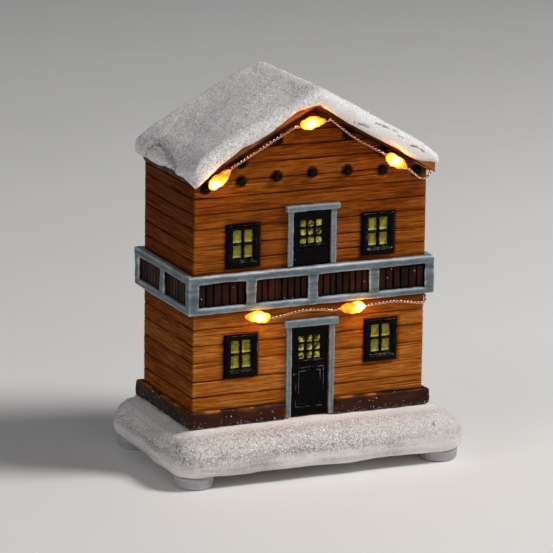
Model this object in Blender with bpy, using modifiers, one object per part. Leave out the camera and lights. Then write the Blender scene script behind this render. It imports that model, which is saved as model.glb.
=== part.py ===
"""Christmas village chalet: a small hand-painted resin house with snow on its roof and on its base,
lit by five micro LEDs on twisted copper wire and fed by two AAA cells in a box under the base.

Metres, +Z up. The front faces -Y. The origin is on the table, under the middle of the base.
"""

import math

import bmesh
import bpy
from mathutils import Matrix, Vector

# Clearances
SEAT = 0.0002  # between two pieces that rest on each other
RUNNING = 0.0003  # round a piece that slides or swings

# Snow base and its four stick-on feet
FOOT_HEIGHT = 0.0036
FOOT_RADIUS = 0.0057
FOOT_DRAFT = 0.0003
FOOT_EDGE_ROUND = 0.0005
FOOT_FROM_SIDE = 0.0068
FOOT_FROM_FRONT = 0.0069
BASE_THICKNESS = 0.0108
BASE_APRON_FRONT = 0.0136
BASE_APRON_SIDE = 0.0090
BASE_APRON_REAR = 0.0064
BASE_CORNER_RADIUS = 0.0065
BASE_UNDERCUT = 0.0013
BASE_DRIFT = 0.0003

# Log house
WALL_WIDTH = 0.0710
WALL_DEPTH = 0.0358
WALL_THICKNESS = 0.0032
WALL_HEIGHT = 0.0689  # from the base up to where the roof boards cross the outer wall face
ROOF_PITCH = math.radians(27.9)
PLANK_HEIGHT = 0.0047
GROOVE_WIDTH = 0.0005
GROOVE_DEPTH = 0.00035
PLINTH_HEIGHT = 0.0046
PLINTH_THICKNESS = 0.0016
PLINTH_EDGE_ROUND = 0.0004

# Balcony round the house
BALCONY_FLOOR_HEIGHT = 0.0329  # from the base up to the underside of the lower rail
BALCONY_HEIGHT = 0.0110
RAIL_DEPTH = 0.0023
TOP_RAIL_HEIGHT = 0.0023
LOWER_RAIL_HEIGHT = 0.0019
RAIL_EDGE_ROUND = 0.00025
POST_WIDTH = 0.0029
POST_THICKNESS = 0.0007
POST_BITE = 0.0005  # how far a post runs into each rail
FRONT_BAYS = 4
SIDE_BAYS = 2
SLAT_THICKNESS = 0.0011
SLAT_PITCH = 0.0021
SLAT_GROOVE_WIDTH = 0.0005
SLAT_GROOVE_DEPTH = 0.0004

# Windows, four of one pattern, let into pockets in the front wall
WINDOW_WIDTH = 0.0102
WINDOW_HEIGHT = 0.0124
WINDOW_PROUD = 0.0010
WINDOW_DEEP = 0.0007
WINDOW_EDGE_ROUND = 0.0004
PANE_WIDTH = 0.0027
PANE_HEIGHT = 0.0036
GLAZING_BAR = 0.0007
PANES_ABOVE_MIDDLE = 0.0005
SILL_HEIGHT = 0.0009
SILL_PROUD = 0.0005
GLAZING_THICKNESS = 0.0008
UPPER_WINDOWS = {  # middle across the front, and lower edge up from the top of the balcony
    "upper_left": (-0.0208, 0.0012),
    "upper_right": (0.0206, 0.0013),
}
LOWER_WINDOWS = {  # middle across the front, and lower edge up from the base
    "lower_left": (-0.0211, 0.0135),
    "lower_right": (0.0220, 0.0141),
}

# Doors
DOOR_WIDTH = 0.0112
UPPER_DOOR_HEIGHT = 0.0156
LINTEL_BELOW_BALCONY = 0.0041  # room over the lower door for the drops under the rail
DOOR_PROUD = 0.0002
DOOR_DEEP = 0.0010
DOOR_PANE = 0.0017
DOOR_PANE_PITCH = 0.0024
DOOR_PANES = 3
DOOR_PANES_BELOW_TOP = 0.0029
DOOR_LEDGE_HEIGHT = 0.0005
DOOR_LEDGE_PROUD = 0.0004
DOOR_PANEL_WIDTH = 0.0076
DOOR_PANEL_MARGIN = 0.0018
DOOR_PANEL_MOULDING = 0.0010
DOOR_PANEL_DEPTH = 0.0004
JAMB_WIDTH = 0.0016
JAMB_PROUD = 0.0012
LINTEL_OVERHANG = 0.0008
LINTEL_EXTRA_PROUD = 0.0008
LOWER_LINTEL_HEIGHT = 0.0022
UPPER_LINTEL_HEIGHT = 0.0017
TRIM_EDGE_ROUND = 0.0002

# Roof
BOARD_EDGE = 0.0008
SOFFIT_RISE = 0.0030  # how far the slanting soffit climbs from the wall out to the edge of the boards
EAVE_OVERHANG = 0.0018
FRONT_OVERHANG = 0.0050
REAR_OVERHANG = 0.0026
SNOW_THICKNESS = 0.0048
SNOW_OVERLAP = 0.0007
SNOW_DRIFT = 0.0004
SNOW_LIP = [  # how far the snow hangs past the top of the boards, at stations from left to right
    0.0034, 0.0026, 0.0004, 0.0005, 0.0005, 0.0006, 0.0006, 0.0006, 0.0026, 0.0022, 0.0008
]

# Log ends under the roof
LOG_RADIUS = 0.0013
LOG_LENGTH = 0.0013
END_LOG_FROM_CORNER = 0.0032  # the two end logs of the row, in from the corners of the house
LOG_ROW_ABOVE_EAVE = 0.0016  # the middle log of the row, up from the top of the side walls
END_LOG_BELOW_ROOF = 0.0007  # the two end logs of the row droop to this far under the boards
LOG_EDGE_ROUND = 0.0003

# Micro LEDs and their wire
DROP_LENGTH = 0.0084
DROP_RADIUS = 0.0016
WIRE_RADIUS = 0.0003
WIRE_CLEARANCE = 0.00015
WIRE_STEP = 0.0025
WIRE_HOLE_RADIUS = 0.0008
GABLE_DROPS = {  # middle of each drop: across, in front of the wall and below the roof boards
    "upper_left": (-0.0299, 0.0040, 0.0011),
    "apex": (-0.0014, 0.0033, 0.0022),
    "upper_right": (0.0242, 0.0039, 0.0027),
}
RAIL_DROPS = {"lower_left": -0.0168, "lower_right": 0.0123}  # across
DROP_TILTS = {"upper_left": 38, "apex": 7, "upper_right": -33, "lower_left": -7, "lower_right": 2}  # degrees
DROP_FULLNESS = 0.8  # under one, a drop is blunter than an ellipse
DROP_RINGS = 8
WIRE_ON_AXIS = (1.35, 1.05, -1.05, -1.35)  # where the wire meets a drop's axis, in halves of its length
UPPER_WIRE_HOLE = (0.0085, 0.0042)  # in the right side wall: back from the front, and below the top of the wall
LOWER_WIRE_HOLE = (0.0060, 0.0022)  # in the right side wall: back from the front, and below the balcony
UPPER_LEAD = [  # the upper wire round the corner: out from the side, back from the front, up from its hole
    (0.0011, 0.0079, 0.0002),
    (0.0014, 0.0051, 0.0014),
    (0.0013, 0.0012, 0.0030),
    (0.0007, -0.0006, 0.0018),
    (-0.0007, -0.0013, 0.0006),
    (-0.0030, -0.0020, 0.0004),
]
LOWER_LEAD = [  # the lower wire, in the same way
    (0.0009, 0.0054, 0.0002),
    (0.0010, 0.0030, 0.0008),
    (0.0008, 0.0008, 0.0006),
    (-0.0004, -0.0010, -0.0004),
    (-0.0030, -0.0013, -0.0003),
    (-0.0100, -0.0017, 0.0008),
]
SWAG_RIGHT = (0.0002, -0.0013)  # from halfway between two drops to the wire there: across and up
SWAG_LEFT = (0.0026, 0.0009)
SWAG_LOWER = (-0.0003, 0.0011)
LEAD_LOOP = 0.0030  # height of the bend over the battery box
LEAD_RISE = (0.0032, 0.0004, 0.0040)  # inside the wall before a hole: in from it, back and below

# Battery box for two AAA cells
CELL_DIAMETER = 0.0105
CELL_LENGTH = 0.0437
CELL_NUB_LENGTH = 0.0008
CELL_NUB_RADIUS = 0.0019
CELL_EDGE_ROUND = 0.0005
CELL_SIDE_GAP = 0.0003
SPRING_LENGTH = 0.0042
SPRING_TURNS = 3.5
SPRING_WIRE_RADIUS = 0.00025
SPRING_BASE_RADIUS = 0.0036
SPRING_TIP_RADIUS = 0.0020
CONTACT_THICKNESS = 0.0003
CONTACT_HEIGHT = 0.0084
CONTACT_WIDTH = 0.0084
BOX_WALL = 0.0012
BOX_FLANGE = 0.0018
BOX_FLANGE_THICKNESS = 0.0012
SWITCH_BAY_LENGTH = 0.0080
LID_THICKNESS = 0.0016
LID_LEDGE = 0.0005
TAB_WIDTH = 0.0032
TAB_LENGTH = 0.0007
TAB_THICKNESS = 0.0007
TAB_SPACING = 0.0110
LID_GRIP_COUNT = 5
LID_GRIP_PITCH = 0.0022
LID_GRIP_WIDTH = 0.0008
LID_GRIP_DEPTH = 0.0005
LID_GRIP_FROM_END = 0.0032
EAR_LENGTH = 0.0066
EAR_WIDTH = 0.0070
EAR_THICKNESS = 0.0026
EAR_ACROSS = 0.0062
SCREW_HEAD_RADIUS = 0.0017
SCREW_HEAD_HEIGHT = 0.0011
SCREW_RADIUS = 0.0009
SCREW_GRIP = 0.0030
RECESS_ARM = 0.0010  # cross recess of the screw head, half length and half width of an arm
RECESS_BLADE = 0.00024
RECESS_DEPTH = 0.00055
BOSS_WALL = 0.0009

# Slide switch
SWITCH_LENGTH = 0.0086
SWITCH_WIDTH = 0.0037
SWITCH_HEIGHT = 0.0035
SWITCH_ACROSS = -0.0052
WIRE_SPACING = 0.0040  # between the two wires where they leave the switch
SLIDER_WIDTH = 0.0016
SLIDER_LENGTH = 0.0024
SLIDER_PROUD = 0.0011
SLIDER_DEEP = 0.0010
SLIDER_TRAVEL = 0.0020

# Levels and places that follow from the sizes above
BASE_BOTTOM = FOOT_HEIGHT
BASE_TOP = BASE_BOTTOM + BASE_THICKNESS
BASE_HALF_X = WALL_WIDTH / 2 + BASE_APRON_SIDE
BASE_HALF_Y = (WALL_DEPTH + BASE_APRON_FRONT + BASE_APRON_REAR) / 2
HOUSE_Y = (BASE_APRON_FRONT - BASE_APRON_REAR) / 2
HALF_X = WALL_WIDTH / 2
HALF_Y = WALL_DEPTH / 2
FRONT_Y = HOUSE_Y - HALF_Y
REAR_Y = HOUSE_Y + HALF_Y
WALL_BOTTOM = BASE_TOP + SEAT
ROOF_SLOPE = math.tan(ROOF_PITCH)
APEX_Z = BASE_TOP + WALL_HEIGHT + ROOF_SLOPE * HALF_X
BALCONY_Z = BASE_TOP + BALCONY_FLOOR_HEIGHT
BALCONY_TOP = BALCONY_Z + BALCONY_HEIGHT
WINDOW_POCKET = WINDOW_DEEP + GLAZING_THICKNESS + 2 * SEAT
DOOR_POCKET = DOOR_DEEP + GLAZING_THICKNESS + 2 * SEAT
LOWER_DOOR_HEIGHT = BALCONY_FLOOR_HEIGHT - LINTEL_BELOW_BALCONY - LOWER_LINTEL_HEIGHT - 3 * SEAT
LOG_PITCH = (HALF_X - END_LOG_FROM_CORNER) / 3

PARTS = "christmas_village_chalet"
CUTTERS = "cutters"


def roof_underside(x):
    """Height of the underside of the roof boards at a distance x from the ridge line."""
    return APEX_Z + SEAT - ROOF_SLOPE * abs(x)


# Scene helpers


def clear_scene():
    for obj in list(bpy.data.objects):
        bpy.data.objects.remove(obj, do_unlink=True)


def collection(name):
    found = bpy.data.collections.get(name)
    if found is None:
        found = bpy.data.collections.new(name)
        bpy.context.scene.collection.children.link(found)
    return found


def material(name, colour, roughness, metallic=0.0):
    """A plain painted, cast or plated surface: colour is the base colour in linear RGB."""
    found = bpy.data.materials.get(name)
    if found is None:
        found = bpy.data.materials.new(name)
        found.use_nodes = True
        shader = found.node_tree.nodes["Principled BSDF"]
        shader.inputs["Base Color"].default_value = (*colour, 1.0)
        shader.inputs["Roughness"].default_value = roughness
        shader.inputs["Metallic"].default_value = metallic
    return found


def place(name, mesh, finish, group=PARTS):
    obj = bpy.data.objects.new(name, mesh)
    collection(group).objects.link(obj)
    if finish is not None and not mesh.materials:
        mesh.materials.append(finish)
    return obj


def mesh_from(bm, name):
    mesh = bpy.data.meshes.new(name)
    bm.to_mesh(mesh)
    bm.free()
    return mesh


def smooth(obj, angle=35.0):
    obj.data.shade_smooth()
    obj.data.set_sharp_from_angle(angle=math.radians(angle))
    return obj


def as_cutter(obj):
    obj.hide_render = True
    obj.display_type = "WIRE"
    collection(PARTS).objects.unlink(obj)
    collection(CUTTERS).objects.link(obj)
    return obj


def box(name, low, high, finish=None):
    """An upright box between two corners."""
    low = Vector(low)
    high = Vector(high)
    bm = bmesh.new()
    bmesh.ops.create_cube(bm, size=1.0)
    bmesh.ops.scale(bm, vec=high - low, verts=bm.verts)
    bmesh.ops.translate(bm, vec=(low + high) / 2, verts=bm.verts)
    return place(name, mesh_from(bm, name), finish)


def cylinder(name, radius, low, high, finish=None, sides=16, top_radius=None):
    """A round bar from the point low to the point high."""
    low = Vector(low)
    high = Vector(high)
    along = high - low
    turn = Vector((0, 0, 1)).rotation_difference(along).to_matrix().to_4x4()
    bm = bmesh.new()
    bmesh.ops.create_cone(
        bm,
        cap_ends=True,
        segments=sides,
        radius1=radius,
        radius2=radius if top_radius is None else top_radius,
        depth=along.length,
        matrix=Matrix.Translation((low + high) / 2) @ turn,
    )
    return place(name, mesh_from(bm, name), finish)


def bevel(obj, width, segments=2, angle=40.0):
    modifier = obj.modifiers.new("rounded_edges", "BEVEL")
    modifier.width = width
    modifier.segments = segments
    modifier.limit_method = "ANGLE"
    modifier.angle_limit = math.radians(angle)
    modifier.use_clamp_overlap = True
    return obj


def boolean(obj, other, operation="DIFFERENCE"):
    modifier = obj.modifiers.new(operation.lower(), "BOOLEAN")
    modifier.operation = operation
    modifier.object = other
    modifier.solver = "EXACT"
    as_cutter(other)
    return obj


def evaluated_mesh(obj):
    bpy.context.view_layer.update()
    graph = bpy.context.evaluated_depsgraph_get()
    return bpy.data.meshes.new_from_object(obj.evaluated_get(graph))


def settle(obj):
    """Applies the modifiers of a mesh object, so that its shape can be shared or joined."""
    mesh = evaluated_mesh(obj)
    obj.modifiers.clear()
    obj.data = mesh
    return obj


def union(obj, others):
    for other in others:
        boolean(obj, other, "UNION")
    return settle(obj)


def flat_outline(name, loops, low, high, finish=None):
    """An upright prism: closed outlines in XY, the first one outer and the others holes, from low to high."""
    curve = bpy.data.curves.new(name, "CURVE")
    curve.dimensions = "2D"
    curve.fill_mode = "BOTH"
    curve.extrude = (high - low) / 2
    for points in loops:
        spline = curve.splines.new("POLY")
        spline.points.add(len(points) - 1)
        for point, (x, y) in zip(spline.points, points):
            point.co = (x, y, 0, 1)
        spline.use_cyclic_u = True
    obj = bpy.data.objects.new(name, curve)
    collection(PARTS).objects.link(obj)
    obj.location.z = (high + low) / 2
    return curve_to_mesh(obj, finish)


def curve_to_mesh(obj, finish):
    """A curve as a mesh with its caps welded on and its place in its vertices."""
    mesh = evaluated_mesh(obj)
    mesh.transform(obj.matrix_world)
    bm = bmesh.new()
    bm.from_mesh(mesh)
    bmesh.ops.remove_doubles(bm, verts=bm.verts, dist=1e-6)
    bmesh.ops.recalc_face_normals(bm, faces=bm.faces)
    bm.to_mesh(mesh)
    bm.free()
    mesh.materials.clear()
    name = obj.name
    bpy.data.objects.remove(obj, do_unlink=True)
    mesh.name = name
    return place(name, mesh, finish)


def across_prism(name, outline, low_y, high_y, finish=None):
    """A prism that runs front to back: outline in XZ, from low_y to high_y."""
    obj = flat_outline(name, [outline], -high_y, -low_y, finish)
    obj.data.transform(Matrix.Rotation(math.radians(90), 4, "X"))
    return obj


def rectangle(half_x, half_y, middle_y=0.0):
    return [
        (-half_x, middle_y - half_y),
        (half_x, middle_y - half_y),
        (half_x, middle_y + half_y),
        (-half_x, middle_y + half_y),
    ]


def ring_prism(name, outer, inner, low, high, finish=None):
    """An upright rectangular collar round the house; outer and inner are its half sizes past the walls."""
    loops = [
        rectangle(HALF_X + outer, HALF_Y + outer, HOUSE_Y),
        rectangle(HALF_X + inner, HALF_Y + inner, HOUSE_Y),
    ]
    return flat_outline(name, loops, low, high, finish)


def loft(name, rings, finish=None):
    """Skins rings of equal point count, each running anticlockwise seen from above, and caps both ends."""
    bm = bmesh.new()
    rows = [[bm.verts.new(point) for point in ring] for ring in rings]
    count = len(rows[0])
    for lower, upper in zip(rows, rows[1:]):
        for i in range(count):
            j = (i + 1) % count
            bm.faces.new((lower[i], lower[j], upper[j], upper[i]))
    bm.faces.new(list(reversed(rows[0])))
    bm.faces.new(rows[-1])
    return place(name, mesh_from(bm, name), finish)


def turned(name, profile, steps, finish=None):
    """A closed profile of (radius, height) points, turned about Z. It runs down its outer side."""
    bm = bmesh.new()
    verts = [bm.verts.new((radius, 0, height)) for radius, height in profile]
    for a, b in zip(verts, verts[1:] + verts[:1]):
        bm.edges.new((a, b))
    obj = place(name, mesh_from(bm, name), finish)
    modifier = obj.modifiers.new("turned", "SCREW")
    modifier.steps = steps
    modifier.render_steps = steps
    modifier.use_merge_vertices = True
    modifier.merge_threshold = 0.00001
    return settle(obj)


def smooth_route(points, step):
    """Points about a step apart on a Catmull-Rom curve through a list of points."""
    points = [Vector(point) for point in points]
    ends = [2 * points[0] - points[1], 2 * points[-1] - points[-2]]
    whole = [ends[0], *points, ends[1]]
    route = [points[0]]
    for before, start, end, after in zip(whole, whole[1:], whole[2:], whole[3:]):
        count = max(1, round((end - start).length / step))
        for k in range(1, count + 1):
            t = k / count
            route.append(
                0.5
                * (
                    2 * start
                    + (end - before) * t
                    + (2 * before - 5 * start + 4 * end - after) * t * t
                    + (3 * start - before - 3 * end + after) * t * t * t
                )
            )
    return route


def tube(name, points, radius, finish, resolution=1):
    """A round wire along a list of points, with closed ends."""
    curve = bpy.data.curves.new(name, "CURVE")
    curve.dimensions = "3D"
    curve.bevel_depth = radius
    curve.bevel_resolution = resolution
    curve.use_fill_caps = True
    spline = curve.splines.new("POLY")
    spline.points.add(len(points) - 1)
    for point, co in zip(spline.points, points):
        point.co = (*co, 1)
    obj = bpy.data.objects.new(name, curve)
    collection(PARTS).objects.link(obj)
    return curve_to_mesh(obj, finish)


# Finishes

SNOW = material("glitter_snow", (0.62, 0.60, 0.58), 0.75)
TIMBER = material("painted_timber", (0.32, 0.115, 0.022), 0.6)
EAVE_TIMBER = material("dark_timber", (0.13, 0.045, 0.014), 0.65)
UMBER = material("umber_paint", (0.055, 0.016, 0.010), 0.6)
SLAT_BROWN = material("slat_brown", (0.040, 0.012, 0.009), 0.6)
BALCONY_GREY = material("blue_grey_paint", (0.14, 0.17, 0.18), 0.5)
NEAR_BLACK = material("black_brown_paint", (0.008, 0.006, 0.008), 0.4)
WINDOW_YELLOW = material("olive_yellow_paint", (0.33, 0.30, 0.035), 0.5)
FOOT_WHITE = material("foot_rubber", (0.60, 0.60, 0.63), 0.7)
AMBER = material("led_resin", (1.0, 0.62, 0.12), 0.15)
COPPER = material("copper_wire", (0.72, 0.33, 0.20), 0.35, 1.0)
BOX_PLASTIC = material("box_plastic", (0.55, 0.55, 0.54), 0.5)
CELL_WRAP = material("cell_wrap", (0.05, 0.10, 0.16), 0.35)
NICKEL = material("nickel_plate", (0.62, 0.60, 0.56), 0.3, 1.0)
SWITCH_BLACK = material("switch_black", (0.012, 0.012, 0.013), 0.5)


# Snow base


def rounded_ring(half_x, half_y, radius, z, middle_y=0.0, arc_steps=4, side_steps=4):
    """A rounded rectangle as points, anticlockwise seen from above."""
    corners = [(1, -1, -90), (1, 1, 0), (-1, 1, 90), (-1, -1, 180)]
    ring = []
    for sign_x, sign_y, start in corners:
        centre_x = sign_x * (half_x - radius)
        centre_y = middle_y + sign_y * (half_y - radius)
        for k in range(arc_steps + 1):
            angle = math.radians(start + 90 * k / arc_steps)
            ring.append(Vector((centre_x + radius * math.cos(angle), centre_y + radius * math.sin(angle), z)))
    full = []
    for i, point in enumerate(ring):
        full.append(point)
        if i % (arc_steps + 1) == arc_steps:
            following = ring[(i + 1) % len(ring)]
            for k in range(1, side_steps):
                full.append(point.lerp(following, k / side_steps))
    return full


def drift(point):
    """The slight hand-modelled roll of the snow, up and down by a share of one."""
    x = point.x / BASE_HALF_X
    y = point.y / BASE_HALF_Y
    return 0.5 * math.sin(7 * x + 2.3 * y) + 0.5 * math.sin(5 * y - 3.1 * x + 1.2)


def build_snow_base():
    # Each level: inset as a share of the undercut and of the side apron, share of the height and of the drift
    levels = [
        (1.00, 0.00, 0.00, 0.0),
        (0.30, 0.00, 0.07, 0.0),
        (0.00, 0.00, 0.20, 0.0),
        (0.00, 0.00, 0.36, 0.0),
        (0.00, 0.06, 0.56, 0.6),
        (0.00, 0.17, 0.74, 1.0),
        (0.00, 0.36, 0.88, 1.0),
        (0.00, 0.62, 0.955, 0.8),
    ]
    rings = []
    for under, inset, height, share in levels:
        inward = under * BASE_UNDERCUT + inset * BASE_APRON_SIDE
        radius = BASE_CORNER_RADIUS - 0.5 * inward
        ring = rounded_ring(
            BASE_HALF_X - inward, BASE_HALF_Y - inward, radius, BASE_BOTTOM + height * BASE_THICKNESS
        )
        for point in ring:
            point.z += share * BASE_DRIFT * drift(point)
        rings.append(ring)
    table = PLINTH_THICKNESS + 2 * SEAT
    rings.append(rounded_ring(HALF_X + table, HALF_Y + table, 2 * SEAT, BASE_TOP, HOUSE_Y))
    base = loft("snow_base", rings, SNOW)
    body_x, body_y = box_half_size()
    centre_x = box_centre_x()
    hole = box(
        "base_box_hole",
        (centre_x - body_x - RUNNING, HOUSE_Y - body_y - RUNNING, 0),
        (centre_x + body_x + RUNNING, HOUSE_Y + body_y + RUNNING, BASE_TOP + BASE_THICKNESS),
    )
    rim = BOX_FLANGE + RUNNING
    seat = box(
        "base_flange_seat",
        (centre_x - body_x - rim, HOUSE_Y - body_y - rim, 0),
        (centre_x + body_x + rim, HOUSE_Y + body_y + rim, BASE_BOTTOM + BOX_FLANGE_THICKNESS + SEAT),
    )
    boolean(base, hole)
    boolean(base, seat)
    return smooth(base, 50)


def build_feet():
    across = BASE_HALF_X - FOOT_FROM_SIDE
    along = BASE_HALF_Y - FOOT_FROM_FRONT
    for end, sign_y in (("front", -1), ("rear", 1)):
        for side, sign_x in (("left", -1), ("right", 1)):
            foot = cylinder(
                f"foot_{end}_{side}",
                FOOT_RADIUS - FOOT_DRAFT,
                (0, 0, 0),
                (0, 0, FOOT_HEIGHT - SEAT),
                FOOT_WHITE,
                sides=24,
                top_radius=FOOT_RADIUS,
            )
            foot.location = (sign_x * across, sign_y * along, 0)
            bevel(foot, FOOT_EDGE_ROUND, segments=1, angle=60)
            smooth(foot, 50)


# Log house


def build_walls():
    """Planked walls: a stack of rectangles that dips in at each groove, cut to the gable line and hollowed."""
    top = APEX_Z + PLANK_HEIGHT
    rings = [(WALL_BOTTOM, 0.0)]
    groove = WALL_BOTTOM + PLANK_HEIGHT
    while groove < top - PLANK_HEIGHT / 2:
        rings += [
            (groove - GROOVE_WIDTH / 2, 0.0),
            (groove, GROOVE_DEPTH),
            (groove + GROOVE_WIDTH / 2, 0.0),
        ]
        groove += PLANK_HEIGHT
    rings.append((top, 0.0))
    points = [
        [Vector((x, y, z)) for x, y in rectangle(HALF_X - inward, HALF_Y - inward, HOUSE_Y)]
        for z, inward in rings
    ]
    walls = loft("house_walls", points, TIMBER)
    margin = WALL_THICKNESS
    eave = APEX_Z - ROOF_SLOPE * (HALF_X + margin)
    gable = [
        (-HALF_X - margin, WALL_BOTTOM - margin),
        (HALF_X + margin, WALL_BOTTOM - margin),
        (HALF_X + margin, eave),
        (0, APEX_Z),
        (-HALF_X - margin, eave),
    ]
    outline = across_prism("gable_outline", gable, FRONT_Y - margin, REAR_Y + margin)
    boolean(walls, outline, "INTERSECT")
    inner_x = HALF_X - WALL_THICKNESS
    inner_y = HALF_Y - WALL_THICKNESS
    hollow = box(
        "house_hollow",
        (-inner_x, HOUSE_Y - inner_y, WALL_BOTTOM - margin),
        (inner_x, HOUSE_Y + inner_y, top + margin),
    )
    boolean(walls, hollow)
    # Room for the battery box, should it be longer or wider than the hollow
    body_x, body_y = box_half_size()
    centre_x = box_centre_x()
    room = box(
        "battery_box_room",
        (centre_x - body_x - RUNNING, HOUSE_Y - body_y - RUNNING, WALL_BOTTOM - margin),
        (centre_x + body_x + RUNNING, HOUSE_Y + body_y + RUNNING, box_top_z() + RUNNING),
    )
    boolean(walls, room)
    for name, (x, z) in window_places().items():
        pocket = box(
            f"pocket_window_{name}",
            (x - WINDOW_WIDTH / 2 - SEAT, FRONT_Y - margin, z - WINDOW_HEIGHT / 2 - SEAT),
            (x + WINDOW_WIDTH / 2 + SEAT, FRONT_Y + WINDOW_POCKET, z + WINDOW_HEIGHT / 2 + SEAT),
        )
        boolean(walls, pocket)
    door_half = DOOR_WIDTH / 2 + SEAT
    for name, bottom, height in door_places():
        pocket = box(
            f"pocket_{name}",
            (-door_half, FRONT_Y - margin, bottom - SEAT),
            (door_half, FRONT_Y + DOOR_POCKET, bottom + height + SEAT),
        )
        boolean(walls, pocket)
    for name, y, z in wire_holes():
        hole = cylinder(
            f"hole_{name}",
            WIRE_HOLE_RADIUS,
            (HALF_X - 2 * WALL_THICKNESS, y, z),
            (HALF_X + WALL_THICKNESS, y, z),
            sides=12,
        )
        boolean(walls, hole)
    return walls


def build_plinth():
    """Dark skirting round the foot of the walls, left open where the lower door frame stands."""
    low = WALL_BOTTOM
    high = low + PLINTH_HEIGHT
    plinth = ring_prism("plinth", PLINTH_THICKNESS + SEAT, SEAT, low, high, UMBER)
    half = DOOR_WIDTH / 2 + JAMB_WIDTH + 2 * SEAT
    gap = box(
        "plinth_door_gap",
        (-half, FRONT_Y - 2 * PLINTH_THICKNESS, low - PLINTH_HEIGHT),
        (half, FRONT_Y + PLINTH_THICKNESS, high + PLINTH_HEIGHT),
    )
    boolean(plinth, gap)
    bevel(plinth, PLINTH_EDGE_ROUND, angle=60)
    return plinth


# Windows and doors


def window_places():
    """Middle of each window, as name: (x, z). The upper ones stand over the balcony."""
    places = {}
    for windows, level in ((UPPER_WINDOWS, BALCONY_TOP), (LOWER_WINDOWS, BASE_TOP)):
        for name, (x, edge) in windows.items():
            places[name] = (x, level + edge + WINDOW_HEIGHT / 2)
    return places


def window_frame_mesh():
    """One frame about its own middle: a rounded block with four panes cut through it and a sill below them."""
    frame = box(
        "window_frame_pattern",
        (-WINDOW_WIDTH / 2, -WINDOW_PROUD, -WINDOW_HEIGHT / 2),
        (WINDOW_WIDTH / 2, WINDOW_DEEP, WINDOW_HEIGHT / 2),
    )
    bevel(frame, WINDOW_EDGE_ROUND)
    settle(frame)
    middle = PANES_ABOVE_MIDDLE
    pitch_x = PANE_WIDTH + GLAZING_BAR
    pitch_z = PANE_HEIGHT + GLAZING_BAR
    sill_top = middle - pitch_z / 2 - PANE_HEIGHT / 2 - GLAZING_BAR
    sill = box(
        "window_sill_pattern",
        (-pitch_x / 2 - PANE_WIDTH / 2, -WINDOW_PROUD - SILL_PROUD, sill_top - SILL_HEIGHT),
        (pitch_x / 2 + PANE_WIDTH / 2, 0, sill_top),
    )
    bevel(sill, TRIM_EDGE_ROUND)
    settle(sill)
    union(frame, [sill])
    for i in (-0.5, 0.5):
        for k in (-0.5, 0.5):
            x = i * pitch_x
            z = middle + k * pitch_z
            opening = box(
                "pane_opening",
                (x - PANE_WIDTH / 2, -2 * WINDOW_PROUD, z - PANE_HEIGHT / 2),
                (x + PANE_WIDTH / 2, 2 * WINDOW_DEEP, z + PANE_HEIGHT / 2),
            )
            boolean(frame, opening)
    settle(frame)
    mesh = frame.data
    bpy.data.objects.remove(frame, do_unlink=True)
    return mesh


def build_windows():
    frame_mesh = window_frame_mesh()
    glazing_y = WINDOW_DEEP + SEAT
    for name, (x, z) in window_places().items():
        frame = place(f"window_frame_{name}", frame_mesh, NEAR_BLACK)
        frame.location = (x, FRONT_Y, z)
        glazing = box(
            f"window_glazing_{name}",
            (-WINDOW_WIDTH / 2, glazing_y, -WINDOW_HEIGHT / 2),
            (WINDOW_WIDTH / 2, glazing_y + GLAZING_THICKNESS, WINDOW_HEIGHT / 2),
            WINDOW_YELLOW,
        )
        glazing.location = frame.location


def door_places():
    """Name, bottom and height of each door leaf."""
    return [
        ("lower", BASE_TOP + 2 * SEAT, LOWER_DOOR_HEIGHT),
        ("upper", BALCONY_TOP + SEAT, UPPER_DOOR_HEIGHT),
    ]


def door_panes(height):
    """Middles of the small panes of a door leaf that stands on zero."""
    reach = (DOOR_PANES - 1) / 2
    top = height - DOOR_PANES_BELOW_TOP - DOOR_PANE / 2
    return [
        ((i - reach) * DOOR_PANE_PITCH, top - k * DOOR_PANE_PITCH)
        for i in range(DOOR_PANES)
        for k in range(DOOR_PANES)
    ]


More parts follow.
